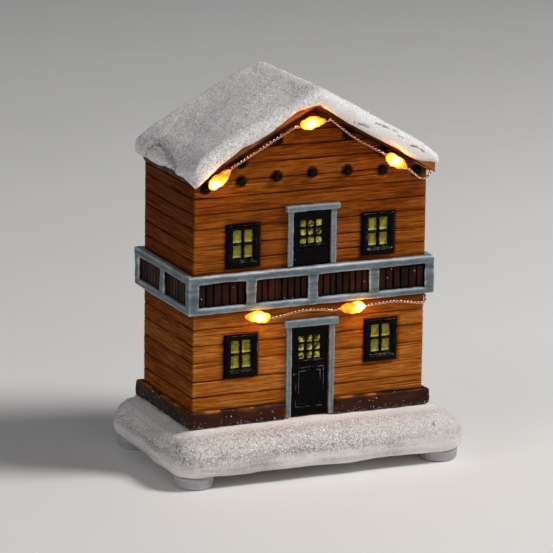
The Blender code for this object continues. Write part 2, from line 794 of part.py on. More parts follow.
def build_door(name, bottom, height, lintel_height):
    leaf = box(
        f"door_{name}",
        (-DOOR_WIDTH / 2, -DOOR_PROUD, 0),
        (DOOR_WIDTH / 2, DOOR_DEEP, height),
        NEAR_BLACK,
    )
    lowest_pane = min(z for _, z in door_panes(height)) - DOOR_PANE / 2
    ledge_top = lowest_pane - DOOR_LEDGE_HEIGHT
    ledge_half = (DOOR_PANES * DOOR_PANE_PITCH + DOOR_PANE) / 2
    ledge = box(
        f"door_ledge_{name}",
        (-ledge_half, -DOOR_PROUD - DOOR_LEDGE_PROUD, ledge_top - DOOR_LEDGE_HEIGHT),
        (ledge_half, DOOR_DEEP / 2, ledge_top),
    )
    union(leaf, [ledge])
    panel_top = ledge_top - DOOR_LEDGE_HEIGHT - DOOR_PANEL_MARGIN / 2
    half = DOOR_PANEL_WIDTH / 2
    cut = box(
        f"door_moulding_{name}",
        (-half, -2 * DOOR_DEEP, DOOR_PANEL_MARGIN),
        (half, -DOOR_PROUD + DOOR_PANEL_DEPTH, panel_top),
    )
    boolean(leaf, cut)
    settle(leaf)
    inset = DOOR_PANEL_MOULDING
    field = box(
        f"door_field_{name}",
        (-half + inset, -DOOR_PROUD, DOOR_PANEL_MARGIN + inset),
        (half - inset, DOOR_DEEP / 2, panel_top - inset),
    )
    union(leaf, [field])
    for x, z in door_panes(height):
        opening = box(
            "door_pane_opening",
            (x - DOOR_PANE / 2, -2 * DOOR_DEEP, z - DOOR_PANE / 2),
            (x + DOOR_PANE / 2, 2 * DOOR_DEEP, z + DOOR_PANE / 2),
        )
        boolean(leaf, opening)
    settle(leaf)
    leaf.location = (0, FRONT_Y, bottom)

    reach = DOOR_PANES * DOOR_PANE_PITCH / 2
    pane_top = height - DOOR_PANES_BELOW_TOP + DOOR_PANE / 2
    glazing = box(
        f"door_glazing_{name}",
        (-reach, DOOR_DEEP + SEAT, pane_top - DOOR_PANES * DOOR_PANE_PITCH),
        (reach, DOOR_DEEP + SEAT + GLAZING_THICKNESS, pane_top),
        WINDOW_YELLOW,
    )
    glazing.location = leaf.location

    inner = DOOR_WIDTH / 2 + SEAT
    outer = inner + JAMB_WIDTH
    top = height + SEAT
    frame = box(
        f"door_frame_{name}",
        (-outer - LINTEL_OVERHANG, -JAMB_PROUD - LINTEL_EXTRA_PROUD, top),
        (outer + LINTEL_OVERHANG, -SEAT, top + lintel_height),
        BALCONY_GREY,
    )
    jambs = [
        box(
            f"jamb_{name}",
            (min(sign * inner, sign * outer), -JAMB_PROUD, 0),
            (max(sign * inner, sign * outer), -1.5 * SEAT, top + lintel_height / 2),
        )
        for sign in (-1, 1)
    ]
    for piece in (frame, *jambs):
        bevel(piece, TRIM_EDGE_ROUND, segments=1)
        settle(piece)
    union(frame, jambs)
    frame.location = leaf.location


def build_doors():
    lintels = {"lower": LOWER_LINTEL_HEIGHT, "upper": UPPER_LINTEL_HEIGHT}
    for name, bottom, height in door_places():
        build_door(name, bottom, height, lintels[name])


# Balcony


def build_balcony_frame():
    """Two rails right round the house, tied by posts that stand just proud of the slats."""
    lower = ring_prism(
        "balcony_frame", RAIL_DEPTH, SEAT, BALCONY_Z, BALCONY_Z + LOWER_RAIL_HEIGHT, BALCONY_GREY
    )
    upper = ring_prism("upper_rail", RAIL_DEPTH, SEAT, BALCONY_TOP - TOP_RAIL_HEIGHT, BALCONY_TOP)
    for rail in (lower, upper):
        bevel(rail, RAIL_EDGE_ROUND, segments=1, angle=60)
        settle(rail)
    back = SEAT + SLAT_THICKNESS + SEAT
    front = back + POST_THICKNESS
    low = BALCONY_Z + LOWER_RAIL_HEIGHT - POST_BITE
    high = BALCONY_TOP - TOP_RAIL_HEIGHT + POST_BITE
    posts = []
    for sign_x in (-1, 1):
        for sign_y in (-1, 1):
            corner = flat_outline(
                "corner_post", [corner_post_outline(sign_x, sign_y, back, front)], low, high
            )
            posts.append(corner)
    reach = HALF_X + front
    for k in range(1, FRONT_BAYS):
        x = -reach + 2 * reach * k / FRONT_BAYS
        for sign in (-1, 1):
            posts.append(post_box(x, HOUSE_Y + sign * (HALF_Y + (back + front) / 2), True, low, high))
    reach = HALF_Y + front
    for k in range(1, SIDE_BAYS):
        y = HOUSE_Y - reach + 2 * reach * k / SIDE_BAYS
        for sign in (-1, 1):
            posts.append(post_box(sign * (HALF_X + (back + front) / 2), y, False, low, high))
    return union(lower, [upper, *posts])


def corner_post_outline(sign_x, sign_y, back, front):
    """An angle section that wraps one corner of the slats."""
    outer_x = HALF_X + front
    outer_y = HALF_Y + front
    inner_x = HALF_X + back
    inner_y = HALF_Y + back
    width = POST_WIDTH
    points = [
        (outer_x, outer_y),
        (outer_x - width, outer_y),
        (outer_x - width, inner_y),
        (inner_x, inner_y),
        (inner_x, outer_y - width),
        (outer_x, outer_y - width),
    ]
    return [(sign_x * x, HOUSE_Y + sign_y * y) for x, y in points]


def post_box(x, y, faces_y, low, high):
    half_x = POST_WIDTH / 2 if faces_y else POST_THICKNESS / 2
    half_y = POST_THICKNESS / 2 if faces_y else POST_WIDTH / 2
    return box("post", (x - half_x, y - half_y, low), (x + half_x, y + half_y, high))


def slat_outline():
    """The outer edge of the slats in plan: flat boards with a V groove between each two."""
    half_x = HALF_X + SEAT + SLAT_THICKNESS
    half_y = HALF_Y + SEAT + SLAT_THICKNESS
    corners = [Vector(point) for point in rectangle(half_x, half_y, HOUSE_Y)]
    outline = []
    for start, end in zip(corners, corners[1:] + corners[:1]):
        along = (end - start).normalized()
        inward = Vector((-along.y, along.x))
        length = (end - start).length
        count = round(length / SLAT_PITCH)
        outline.append(tuple(start))
        for k in range(1, count):
            middle = start + along * (length * k / count)
            outline.append(tuple(middle - along * SLAT_GROOVE_WIDTH / 2))
            outline.append(tuple(middle + inward * SLAT_GROOVE_DEPTH))
            outline.append(tuple(middle + along * SLAT_GROOVE_WIDTH / 2))
    return outline


def build_balcony_slats():
    inner = rectangle(HALF_X + SEAT, HALF_Y + SEAT, HOUSE_Y)
    low = BALCONY_Z + LOWER_RAIL_HEIGHT + SEAT
    high = BALCONY_TOP - TOP_RAIL_HEIGHT - SEAT
    return flat_outline("balcony_slats", [slat_outline(), inner], low, high, SLAT_BROWN)


# Roof


def build_roof_boards():
    """Boarding that sits on the gable walls; its soffit slants up from the walls to a thin outer edge."""
    wall_x = HALF_X + SEAT
    wall_y = HALF_Y + SEAT
    edge_x = HALF_X + EAVE_OVERHANG
    front = FRONT_Y - FRONT_OVERHANG
    rear = REAR_Y + REAR_OVERHANG
    levels = [
        (wall_x, HOUSE_Y - wall_y, HOUSE_Y + wall_y, 0.0),
        (edge_x, front, rear, SOFFIT_RISE),
        (edge_x, front, rear, SOFFIT_RISE + BOARD_EDGE),
    ]
    bm = bmesh.new()
    rings = []
    for x, near, far, rise in levels:
        plan = [(-x, near), (0, near), (x, near), (x, far), (0, far), (-x, far)]
        rings.append([bm.verts.new((px, py, roof_underside(px) + rise)) for px, py in plan])
    for lower, upper in zip(rings, rings[1:]):
        for i, vert in enumerate(lower):
            j = (i + 1) % len(lower)
            bm.faces.new((vert, lower[j], upper[j], upper[i]))
    for ring, order in ((rings[0], -1), (rings[-1], 1)):
        left_front, ridge_front, right_front, right_rear, ridge_rear, left_rear = ring
        bm.faces.new((left_front, ridge_front, ridge_rear, left_rear)[::order])
        bm.faces.new((ridge_front, right_front, right_rear, ridge_rear)[::order])
    return place("roof_boards", mesh_from(bm, "roof_boards"), EAVE_TIMBER)


def build_roof_snow():
    """A thick blanket that rolls over the edges: a coarse grid, thickened, softened and cut to the boards."""
    edge = HALF_X + EAVE_OVERHANG + SNOW_OVERLAP
    front = FRONT_Y - FRONT_OVERHANG - SNOW_OVERLAP
    rear = REAR_Y + REAR_OVERHANG + SNOW_OVERLAP
    # Stations across the roof: share of the half width, and of the thickness
    across = [
        (-1.00, 0.60),
        (-0.86, 1.00),
        (-0.62, 1.10),
        (-0.33, 1.00),
        (-0.10, 0.80),
        (0.00, 0.76),
        (0.10, 0.78),
        (0.33, 0.84),
        (0.62, 0.84),
        (0.86, 0.74),
        (1.00, 0.46),
    ]
    # Stations along the ridge, front to rear: share of the length, of the thickness and of the lip
    along = [
        (0.00, 0.80, 1.15),
        (0.07, 1.00, 1.10),
        (0.30, 1.00, 0.95),
        (0.55, 1.03, 0.75),
        (0.80, 0.97, 0.60),
        (0.94, 0.93, 0.55),
        (1.00, 0.75, 0.55),
    ]
    columns = len(across)
    rows = len(along)
    bm = bmesh.new()
    bmesh.ops.create_grid(bm, x_segments=columns - 1, y_segments=rows - 1, size=1)
    top_of_boards = roof_underside(0) + SOFFIT_RISE + BOARD_EDGE
    bottom = {}
    for vert in bm.verts:
        column = round((vert.co.x + 1) / 2 * (columns - 1))
        share_x, thick_x = across[column]
        share_y, thick_y, hang_y = along[round((vert.co.y + 1) / 2 * (rows - 1))]
        x = share_x * edge
        y = front + share_y * (rear - front)
        wave = math.sin(9 * share_y + 4 * share_x) + math.sin(6 * share_x - 5 * share_y)
        on_boards = top_of_boards - ROOF_SLOPE * abs(x)
        vert.co = (x, y, on_boards + SNOW_THICKNESS * thick_x * thick_y + SNOW_DRIFT * wave)
        bottom[tuple(vert.co)] = on_boards - SNOW_LIP[column] * hang_y - SNOW_DRIFT
    grown = bmesh.ops.extrude_face_region(bm, geom=bm.faces[:])
    for item in grown["geom"]:
        if isinstance(item, bmesh.types.BMVert):
            item.co.z = bottom[tuple(item.co)]
    bmesh.ops.recalc_face_normals(bm, faces=bm.faces)
    blanket = place("roof_snow", mesh_from(bm, "roof_snow"), SNOW)
    soften = blanket.modifiers.new("soften", "SUBSURF")
    soften.levels = 2
    soften.render_levels = 2
    rise = SOFFIT_RISE + BOARD_EDGE + SEAT
    board_edge = HALF_X + EAVE_OVERHANG + SEAT
    deep = APEX_Z - 2 * ROOF_SLOPE * board_edge
    under = [
        (-board_edge, deep),
        (board_edge, deep),
        (board_edge, roof_underside(board_edge) + rise),
        (0, roof_underside(0) + rise),
        (-board_edge, roof_underside(board_edge) + rise),
    ]
    cutter = across_prism(
        "snow_cut_by_boards",
        under,
        FRONT_Y - FRONT_OVERHANG - SEAT,
        REAR_Y + REAR_OVERHANG + SEAT,
    )
    boolean(blanket, cutter)
    return smooth(blanket, 60)


def log_places():
    """Across and up for each log end: a row under the gable, then one under each rake between row and ridge."""
    below = (LOG_RADIUS + SEAT) / math.cos(ROOF_PITCH)
    row_z = BASE_TOP + WALL_HEIGHT + LOG_ROW_ABOVE_EAVE
    end_z = roof_underside(3 * LOG_PITCH) - below - END_LOG_BELOW_ROOF
    places = []
    for k in range(-3, 4):
        z = row_z + (end_z - row_z) * (k / 3) ** 2
        places.append((f"log_end_row_{k + 4}", k * LOG_PITCH, z))
    for name, k in (("left_low", -2), ("left_high", -1), ("right_high", 1), ("right_low", 2)):
        x = k * LOG_PITCH
        places.append((f"log_end_rake_{name}", x, roof_underside(x) - below))
    return places


def build_log_ends():
    for name, x, z in log_places():
        log = cylinder(name, LOG_RADIUS, (0, -SEAT, 0), (0, -SEAT - LOG_LENGTH, 0), NEAR_BLACK, sides=12)
        log.location = (x, FRONT_Y, z)
        bevel(log, LOG_EDGE_ROUND, segments=1, angle=60)
        smooth(log, 40)


# Micro LEDs on twisted wire


def drop_places():
    """Middle and tilt in degrees of each LED drop on the front, as name: (x, y, z, tilt)."""
    places = {
        name: (x, FRONT_Y - forward, roof_underside(x) - below, DROP_TILTS[name])
        for name, (x, forward, below) in GABLE_DROPS.items()
    }
    under_rail = BALCONY_Z - DROP_RADIUS - 2 * SEAT
    for name, x in RAIL_DROPS.items():
        places[name] = (x, FRONT_Y - DROP_RADIUS - SEAT, under_rail, DROP_TILTS[name])
    return places


def drop_axis(name):
    """The four points on one drop's axis that its wire runs through, from its right end to its left."""
    x, y, z, tilt = drop_places()[name]
    along = Vector((math.cos(math.radians(tilt)), 0, math.sin(math.radians(tilt))))
    middle = Vector((x, y, z))
    return [middle + along * DROP_LENGTH / 2 * share for share in WIRE_ON_AXIS]


def wire_holes():
    """Where each wire comes out through the right side wall: name, y, z."""
    upper_back, upper_below = UPPER_WIRE_HOLE
    lower_back, lower_below = LOWER_WIRE_HOLE
    return [
        ("upper_wire", FRONT_Y + upper_back, BASE_TOP + WALL_HEIGHT - upper_below),
        ("lower_wire", FRONT_Y + lower_back, BALCONY_Z - lower_below),
    ]


def inner_lead(start, hole_y, hole_z):
    """The hidden stretch of a wire: from the switch bay up through the house to its hole in the side wall."""
    x, y, z = start
    inside = HALF_X - WALL_THICKNESS
    lead_in, lead_back, lead_below = LEAD_RISE
    return [
        (x, y, z),
        (x, y, box_top_z() + LEAD_LOOP),
        (x + lead_back, (y + hole_y) / 2, (z + hole_z) / 2),
        (inside - lead_in, hole_y + lead_back, hole_z - lead_below),
        (inside - 2 * WIRE_HOLE_RADIUS, hole_y, hole_z - lead_back),
        (inside + WALL_THICKNESS / 2, hole_y, hole_z),
    ]


def outer_lead(lead, hole_z):
    """A wire from its hole round the front right corner of the house."""
    return [(HALF_X + out, FRONT_Y + back, hole_z + up) for out, back, up in lead]


def swag(right_drop, left_drop, offset, y):
    """The point a wire runs through between two drops, on the plane y."""
    start = drop_axis(right_drop)[-1]
    end = drop_axis(left_drop)[0]
    middle = (start + end) / 2
    return (middle.x + offset[0], y, middle.z + offset[1])


def build_lights():
    profile = []
    bore = WIRE_RADIUS + WIRE_CLEARANCE
    for k in range(DROP_RINGS + 1):
        angle = math.pi * k / DROP_RINGS
        radius = max(bore, DROP_RADIUS * math.sin(angle) ** DROP_FULLNESS)
        profile.append((radius, DROP_LENGTH / 2 * math.cos(angle)))
    pattern = turned("drop_pattern", profile, 12)
    mesh = pattern.data
    mesh.transform(Matrix.Rotation(math.radians(90), 4, "Y"))
    bpy.data.objects.remove(pattern, do_unlink=True)
    for name, (x, y, z, tilt) in drop_places().items():
        drop = place(f"led_{name}", mesh, AMBER)
        drop.location = (x, y, z)
        drop.rotation_euler.y = math.radians(-tilt)
        smooth(drop, 60)

    (_, upper_y, upper_z), (_, lower_y, lower_z) = wire_holes()
    starts = wire_starts()
    past_logs = FRONT_Y - LOG_LENGTH - WIRE_RADIUS - 2 * SEAT
    upper = [
        *inner_lead(starts["upper"], upper_y, upper_z),
        *outer_lead(UPPER_LEAD, upper_z),
        *drop_axis("upper_right"),
        swag("upper_right", "apex", SWAG_RIGHT, past_logs),
        *drop_axis("apex"),
        swag("apex", "upper_left", SWAG_LEFT, past_logs),
        *drop_axis("upper_left"),
    ]
    tube("wire_upper", smooth_route(upper, WIRE_STEP), WIRE_RADIUS, COPPER)

    lower = [
        *inner_lead(starts["lower"], lower_y, lower_z),
        *outer_lead(LOWER_LEAD, lower_z),
        *drop_axis("lower_right"),
        swag("lower_right", "lower_left", SWAG_LOWER, FRONT_Y - DROP_RADIUS - 2 * SEAT),
        *drop_axis("lower_left"),
    ]
    tube("wire_lower", smooth_route(lower, WIRE_STEP), WIRE_RADIUS, COPPER)


# Battery box


def bay_size():
    """Inside length and width of the cell bay, and its height above the lid."""
    length = CELL_LENGTH + CELL_NUB_LENGTH + SPRING_LENGTH + 2 * CONTACT_THICKNESS + 4 * SEAT
    width = 2 * CELL_DIAMETER + 3 * CELL_SIDE_GAP
    return length, width, CELL_DIAMETER + 2 * SEAT


def box_half_size():
    length, width, _ = bay_size()
    return (
        (length + SWITCH_BAY_LENGTH + 3 * BOX_WALL) / 2,
        width / 2 + BOX_WALL,
    )


def box_centre_x():
    return 0.0


def box_top_z():
    return BASE_BOTTOM + LID_THICKNESS + SEAT + bay_size()[2] + BOX_WALL


def bay_left_x():
    return box_centre_x() - box_half_size()[0] + BOX_WALL


def bay_right_x():
    return bay_left_x() + bay_size()[0]


def switch_bay_x():
    """The two inside ends of the switch bay."""
    return bay_right_x() + BOX_WALL, box_centre_x() + box_half_size()[0] - BOX_WALL


def lid_outline():
    """Left, right, half width of the lid without its ear and tabs."""
    left = bay_left_x() - LID_LEDGE + SEAT
    right = bay_right_x() + LID_LEDGE - SEAT
    half = bay_size()[1] / 2 + LID_LEDGE - SEAT
    return left, right, half


def lid_hinge():
    """The line the lid tilts about, through its lower edge at the tab end: x and z."""
    return lid_outline()[0], BASE_BOTTOM


def screw_place():
    _, right, _ = lid_outline()
    return right + EAR_LENGTH - EAR_WIDTH / 2, HOUSE_Y + EAR_ACROSS


def switch_place():
    low, high = switch_bay_x()
    return (low + high) / 2, HOUSE_Y + SWITCH_ACROSS


def wire_starts():
    """Where each wire ends inside the switch bay, above the switch."""
    x, y = switch_place()
    z = BASE_BOTTOM + BOX_FLANGE_THICKNESS + SWITCH_HEIGHT + 4 * SEAT
    return {"upper": (x, y + WIRE_SPACING / 2, z), "lower": (x, y - WIRE_SPACING / 2, z)}


def build_battery_box():
    """A tray that hangs in the base from its flange: a cell bay and a switch bay, open below."""
    centre_x = box_centre_x()
    half_x, half_y = box_half_size()
    left = centre_x - half_x
    right = centre_x + half_x
    shell = box(
        "battery_box",
        (left, HOUSE_Y - half_y, BASE_BOTTOM),
        (right, HOUSE_Y + half_y, box_top_z()),
        BOX_PLASTIC,
    )
    flange = box(
        "box_flange",
        (left - BOX_FLANGE, HOUSE_Y - half_y - BOX_FLANGE, BASE_BOTTOM),
        (right + BOX_FLANGE, HOUSE_Y + half_y + BOX_FLANGE, BASE_BOTTOM + BOX_FLANGE_THICKNESS),
    )
    union(shell, [flange])

    bay_half = bay_size()[1] / 2
    ceiling = box_top_z() - BOX_WALL
    below = BASE_BOTTOM - BOX_WALL
    boolean(
        shell,
        box(
            "cell_bay",
            (bay_left_x(), HOUSE_Y - bay_half, below),
            (bay_right_x(), HOUSE_Y + bay_half, ceiling),
        ),
    )
    low, high = switch_bay_x()
    floor = BASE_BOTTOM + BOX_FLANGE_THICKNESS
    boolean(
        shell,
        box("switch_bay", (low, HOUSE_Y - bay_half, floor), (high, HOUSE_Y + bay_half, ceiling)),
    )
    # Ledge that the lid sits in, and the recess for its ear
    lid_left, lid_right, lid_half = lid_outline()
    ledge_top = BASE_BOTTOM + LID_THICKNESS + SEAT
    boolean(
        shell,
        box(
            "lid_ledge",
            (lid_left - SEAT, HOUSE_Y - lid_half - SEAT, below),
            (lid_right + SEAT, HOUSE_Y + lid_half + SEAT, ledge_top),
        ),
    )
    ear_half = EAR_WIDTH / 2 + RUNNING
    ear_top = BASE_BOTTOM + EAR_THICKNESS + SEAT
    boolean(
        shell,
        box(
            "ear_recess",
            (lid_right - SEAT, HOUSE_Y + EAR_ACROSS - ear_half, below),
            (lid_right + EAR_LENGTH + RUNNING, HOUSE_Y + EAR_ACROSS + ear_half, ear_top),
        ),
    )
    # Slots that the two tabs of the lid hook into, high enough for the tabs to swing
    tab_x, tab_z = lid_hinge()
    swing = math.hypot(TAB_LENGTH, LID_THICKNESS)
    for sign in (-1, 1):
        y = HOUSE_Y + sign * TAB_SPACING / 2
        slot_half = TAB_WIDTH / 2 + RUNNING
        boolean(
            shell,
            box(
                "tab_slot",
                (tab_x - TAB_LENGTH - RUNNING, y - slot_half, tab_z + LID_THICKNESS - TAB_THICKNESS - RUNNING),
                (bay_left_x() + BOX_WALL / 4, y + slot_half, tab_z + swing + RUNNING),
            ),
        )
    # Boss for the lid screw, hung from the ceiling of the switch bay
    screw_x, screw_y = screw_place()
    hole_radius = SCREW_RADIUS + RUNNING + SEAT
    settle(shell)
    boss = cylinder(
        "screw_boss",
        hole_radius + BOSS_WALL,
        (screw_x, screw_y, BASE_BOTTOM + EAR_THICKNESS + 2 * SEAT),
        (screw_x, screw_y, ceiling + BOX_WALL / 2),
        sides=16,
    )
    union(shell, [boss])
    boolean(
        shell,
        cylinder(
            "screw_hole",
            hole_radius,
            (screw_x, screw_y, BASE_BOTTOM),
            (screw_x, screw_y, ceiling - BOX_WALL),
            sides=12,
        ),
    )
    # Slot for the switch slider and a hole in the ceiling for each wire
    switch_x, switch_y = switch_place()
    slot_x = SLIDER_WIDTH / 2 + RUNNING
    slot_y = (SLIDER_LENGTH + SLIDER_TRAVEL) / 2 + RUNNING
    boolean(
        shell,
        box(
            "slider_slot",
            (switch_x - slot_x, switch_y - slot_y, below),
            (switch_x + slot_x, switch_y + slot_y, floor + BOX_WALL),
        ),
    )
    for x, y, _ in wire_starts().values():
        boolean(
            shell,
            cylinder(
                "wire_hole",
                WIRE_HOLE_RADIUS,
                (x, y, ceiling - BOX_WALL),
                (x, y, ceiling + 3 * BOX_WALL),
                sides=8,
            ),
        )
    return shell


def build_lid():
    """Lid with two hooked tabs at one end and a counterbored ear for its screw at the other."""
    left, right, half = lid_outline()
    bottom = BASE_BOTTOM
    top = bottom + LID_THICKNESS
    lid = box("battery_lid", (left, HOUSE_Y - half, bottom), (right, HOUSE_Y + half, top), BOX_PLASTIC)
    ear_half = EAR_WIDTH / 2
    ear = box(
        "lid_ear",
        (bay_right_x() + LID_LEDGE / 2, HOUSE_Y + EAR_ACROSS - ear_half, bottom),
        (right + EAR_LENGTH, HOUSE_Y + EAR_ACROSS + ear_half, bottom + LID_THICKNESS),
    )
    screw_x, screw_y = screw_place()
    pad = cylinder(
        "lid_ear_pad",
        SCREW_HEAD_RADIUS + BOSS_WALL,
        (screw_x, screw_y, bottom + LID_THICKNESS / 2),
        (screw_x, screw_y, bottom + EAR_THICKNESS),
        sides=20,
    )
    tabs = [
        box(
            "lid_tab",
            (left - TAB_LENGTH, HOUSE_Y + sign * TAB_SPACING / 2 - TAB_WIDTH / 2, top - TAB_THICKNESS),
            (left + TAB_LENGTH, HOUSE_Y + sign * TAB_SPACING / 2 + TAB_WIDTH / 2, top),
        )
        for sign in (-1, 1)
    ]
    union(lid, [ear, pad, *tabs])
    boolean(
        lid,
        cylinder(
            "screw_head_recess",
            SCREW_HEAD_RADIUS + SEAT,
            (screw_x, screw_y, bottom - LID_THICKNESS),
            (screw_x, screw_y, bottom + SCREW_HEAD_HEIGHT + SEAT),
            sides=20,
        ),
    )
    boolean(
        lid,
        cylinder(
            "screw_clearance",
            SCREW_RADIUS + SEAT,
            (screw_x, screw_y, bottom - LID_THICKNESS),
            (screw_x, screw_y, bottom + 2 * EAR_THICKNESS),
            sides=16,
        ),
    )
    # Finger grooves near the ear end
    for k in range(LID_GRIP_COUNT):
        x = right - LID_GRIP_FROM_END - k * LID_GRIP_PITCH
        boolean(
            lid,
            box(
                "grip_groove",
                (x - LID_GRIP_WIDTH / 2, HOUSE_Y - half / 2, bottom - LID_THICKNESS),
                (x + LID_GRIP_WIDTH / 2, HOUSE_Y + half / 4, bottom + LID_GRIP_DEPTH),
            ),
        )
    settle(lid)
    hinge_x, hinge_z = lid_hinge()
    lid.data.transform(Matrix.Translation((-hinge_x, -HOUSE_Y, -hinge_z)))
    lid.location = (hinge_x, HOUSE_Y, hinge_z)
    return lid


def build_lid_screw():
    """Captive pan-head screw with a cross recess."""
    x, y = screw_place()
    head_top = SCREW_HEAD_HEIGHT
    screw = cylinder("lid_screw", SCREW_HEAD_RADIUS, (0, 0, 0), (0, 0, head_top), NICKEL, sides=20)
    tip = EAR_THICKNESS + SCREW_GRIP
    shank = cylinder("screw_shank", SCREW_RADIUS, (0, 0, head_top / 2), (0, 0, tip), sides=12)
    union(screw, [shank])
    for half_x, half_y in ((RECESS_ARM, RECESS_BLADE), (RECESS_BLADE, RECESS_ARM)):
        boolean(screw, box("cross_recess", (-half_x, -half_y, -head_top), (half_x, half_y, RECESS_DEPTH)))
    settle(screw)
    screw.location = (x, y, BASE_BOTTOM)
    return screw


def build_cells():
    """Two AAA cells, head to tail, with their contacts and springs."""
    axis_z = BASE_BOTTOM + LID_THICKNESS + 2 * SEAT + CELL_DIAMETER / 2
    spread = (CELL_DIAMETER + CELL_SIDE_GAP) / 2
    left = bay_left_x()
    right = bay_right_x()
    half_height = CONTACT_HEIGHT / 2
    for name, sign, y_sign in (("rear", 1, 1), ("front", -1, -1)):
        y = HOUSE_Y + y_sign * spread
        # The nub of the rear cell points right, and that of the front cell left
        end = right if sign > 0 else left
        nub_end = end - sign * (CONTACT_THICKNESS + 2 * SEAT)
        body_end = nub_end - sign * CELL_NUB_LENGTH
        flat_end = body_end - sign * CELL_LENGTH
        cell = cylinder(
            f"cell_{name}",
            CELL_DIAMETER / 2,
            (min(body_end, flat_end), y, axis_z),
            (max(body_end, flat_end), y, axis_z),
            CELL_WRAP,
            sides=20,
        )
        bevel(cell, CELL_EDGE_ROUND, segments=1)
        settle(cell)
        nub = cylinder(
            f"nub_{name}",
            CELL_NUB_RADIUS,
            (body_end - sign * CELL_NUB_LENGTH, y, axis_z),
            (nub_end, y, axis_z),
            sides=12,
        )
        union(cell, [nub])
        smooth(cell, 50)
        # Conical spring behind the flat end, its wide coil on the contact plate
        far = left if sign > 0 else right
        plate_face = far + sign * (CONTACT_THICKNESS + SEAT)
        build_spring(f"contact_spring_{name}", plate_face, flat_end - sign * SEAT, sign, y, axis_z)
    # One plate links the two cells on the left; on the right each cell has its own
    low_z = axis_z - half_height
    high_z = axis_z + half_height
    box(
        "contact_link",
        (left + SEAT / 2, HOUSE_Y - spread - CONTACT_WIDTH / 2, low_z),
        (left + SEAT / 2 + CONTACT_THICKNESS, HOUSE_Y + spread + CONTACT_WIDTH / 2, high_z),
        NICKEL,
    )
    for name, y_sign in (("positive", 1), ("negative", -1)):
        y = HOUSE_Y + y_sign * spread
        box(
            f"contact_{name}",
            (right - SEAT / 2 - CONTACT_THICKNESS, y - CONTACT_WIDTH / 2, low_z),
            (right - SEAT / 2, y + CONTACT_WIDTH / 2, high_z),
            NICKEL,
        )


def build_spring(name, start_x, end_x, sign, y, z):
    """A conical compression spring along X, from its wide coil at start_x to its narrow one at end_x."""
    per_turn = 8
    count = round(SPRING_TURNS * per_turn)
    first = start_x + sign * SPRING_WIRE_RADIUS
    last = end_x - sign * SPRING_WIRE_RADIUS
    points = []
    for k in range(count + 1):
        share = k / count
        angle = 2 * math.pi * k / per_turn
        radius = SPRING_BASE_RADIUS + (SPRING_TIP_RADIUS - SPRING_BASE_RADIUS) * share
        points.append(
            (first + (last - first) * share, y + radius * math.cos(angle), z + radius * math.sin(angle))
        )
    smooth(tube(name, points, SPRING_WIRE_RADIUS, NICKEL), 60)


def build_switch():
    x, y = switch_place()
    floor = BASE_BOTTOM + BOX_FLANGE_THICKNESS + SEAT
    body = box(
        "switch_body",
        (x - SWITCH_WIDTH / 2, y - SWITCH_LENGTH / 2, floor),
        (x + SWITCH_WIDTH / 2, y + SWITCH_LENGTH / 2, floor + SWITCH_HEIGHT),
        NICKEL,
    )
    slot_x = SLIDER_WIDTH / 2 + RUNNING
    slot_y = (SLIDER_LENGTH + SLIDER_TRAVEL) / 2 + RUNNING
    cavity_top = floor + SLIDER_DEEP + RUNNING
    boolean(
        body,
        box(
            "switch_cavity",
            (x - slot_x, y - slot_y, floor - SWITCH_HEIGHT),
            (x + slot_x, y + slot_y, cavity_top),
        ),
    )
    # The slider stands at the ON end of its travel, as the lit house in use
    slider = box(
        "switch_slider",
        (-SLIDER_WIDTH / 2, -SLIDER_LENGTH / 2, BASE_BOTTOM - SLIDER_PROUD),
        (SLIDER_WIDTH / 2, SLIDER_LENGTH / 2, floor + SLIDER_DEEP),
        SWITCH_BLACK,
    )
    for k in (-1, 0, 1):
        groove_y = k * SLIDER_LENGTH / 4
        boolean(
            slider,
            box(
                "slider_groove",
                (-SLIDER_WIDTH, groove_y - SEAT, BASE_BOTTOM - 2 * SLIDER_PROUD),
                (SLIDER_WIDTH, groove_y + SEAT, BASE_BOTTOM - SLIDER_PROUD * 0.7),
            ),
        )
    slider.location = (x, y + SLIDER_TRAVEL / 2, 0)


def main():
    clear_scene()
    build_snow_base()
    build_feet()
    build_walls()
    build_plinth()
    build_windows()
    build_doors()
    build_balcony_frame()
    build_balcony_slats()
    build_roof_boards()
    build_roof_snow()
    build_log_ends()
    build_lights()
    build_battery_box()
    build_lid()
    build_lid_screw()
    build_cells()
    build_switch()


main()
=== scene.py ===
import itertools
import math

import bmesh
import bpy
import numpy as np
from mathutils import Matrix, Vector


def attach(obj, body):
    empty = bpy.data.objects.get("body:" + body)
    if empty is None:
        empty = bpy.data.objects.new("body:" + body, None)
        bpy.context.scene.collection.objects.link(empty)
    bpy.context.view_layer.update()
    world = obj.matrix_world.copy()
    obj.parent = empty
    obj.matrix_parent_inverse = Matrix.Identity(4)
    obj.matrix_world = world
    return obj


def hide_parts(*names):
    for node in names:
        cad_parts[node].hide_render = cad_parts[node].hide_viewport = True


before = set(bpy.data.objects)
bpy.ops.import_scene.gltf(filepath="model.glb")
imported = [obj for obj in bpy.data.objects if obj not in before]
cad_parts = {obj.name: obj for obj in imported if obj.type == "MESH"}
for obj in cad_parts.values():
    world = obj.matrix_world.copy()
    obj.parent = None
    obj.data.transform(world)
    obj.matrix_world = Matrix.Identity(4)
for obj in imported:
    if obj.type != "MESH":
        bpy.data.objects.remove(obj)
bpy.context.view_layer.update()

# A hand-painted resin chalet ornament. Metres, +Z up, the front faces -Y, as in the solids.

MM = 0.001
UP = Vector((0, 0, 1))

